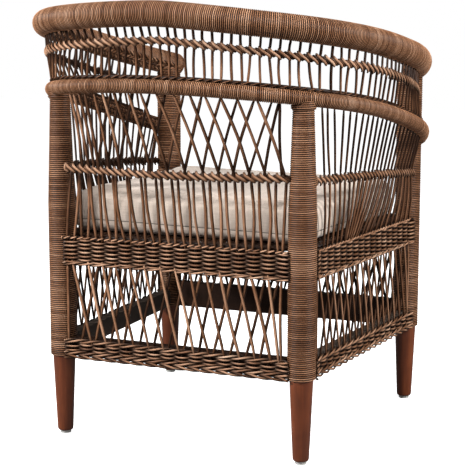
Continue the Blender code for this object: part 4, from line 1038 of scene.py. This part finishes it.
# Floor, light and camera
floor_mesh = bpy.data.meshes.new("floor")
floor_mesh.from_pydata([(-9, -9, 0), (9, -9, 0), (9, 9, 0), (-9, 9, 0)], [], [(0, 1, 2, 3)])
floor = bpy.data.objects.new("floor", floor_mesh)
scene.collection.objects.link(floor)
m, tree, shader = blank("pale_floor")
shader.inputs["Roughness"].default_value = 0.9
seen = add(tree, "LightPath").outputs["Is Camera Ray"]
tree.links.new(add(tree, "MapRange", {0: seen, 3: 0.25, 4: 0.8}).outputs[0], shader.inputs["Base Color"])
shader.inputs["Emission Color"].default_value = (1, 1, 1, 1)
tree.links.new(math_node(tree, "MULTIPLY", seen, 0.93), shader.inputs["Emission Strength"])
floor_mesh.materials.append(m)

world = bpy.data.worlds.new("studio")
scene.world = world
world.use_nodes = True
tree = world.node_tree
path = add(tree, "LightPath").outputs
seen = math_node(tree, "MAXIMUM", path["Is Camera Ray"], path["Is Transmission Ray"])
height = add(tree, "SeparateXYZ", {0: add(tree, "TexCoord").outputs["Generated"]}).outputs[2]
sky = add(tree, "MapRange", {0: height, 1: 0.0, 2: 0.9, 3: 0.06, 4: 0.20}).outputs[0]
strength = add(tree, "Mix", {0: seen, 2: sky, 3: 1.0}).outputs[0]
back = tree.nodes["Background"]
back.inputs["Color"].default_value = (1, 1, 1, 1)
tree.links.new(strength, back.inputs["Strength"])


def lamp(name, where, target, size, power):
    data = bpy.data.lights.new(name, "AREA")
    data.shape = "DISK"
    data.size = size
    data.energy = power
    o = bpy.data.objects.new(name, data)
    scene.collection.objects.link(o)
    o.location = where
    o.rotation_euler = (Vector(target) - Vector(where)).to_track_quat("-Z", "Y").to_euler()


lamp("left", (1.9, 1.9, 1.7), (0, 0, 0.4), 0.45, 122)
lamp("right", (-2.4, 0.24, 1.7), (0, 0, 0.4), 0.45, 88)
lamp("high", (0.0, 2.1, 2.8), (0, 0, 0.4), 2.4, 66)
lamp("top", (-0.1, -0.2, 3.0), (0, 0, 0.4), 1.6, 14)

view = bpy.data.cameras.new("camera")
view.lens = 111.3
view.sensor_width = 36
view.shift_x, view.shift_y = 0.0151, 0.0208
camera = bpy.data.objects.new("camera", view)
scene.collection.objects.link(camera)
camera.location = (-1.0883, 2.4250, 0.7499)
camera.rotation_euler = Vector((0.4076, -0.9001, -0.1541)).to_track_quat("-Z", "Y").to_euler()
scene.camera = camera
scene.view_settings.view_transform = "Standard"
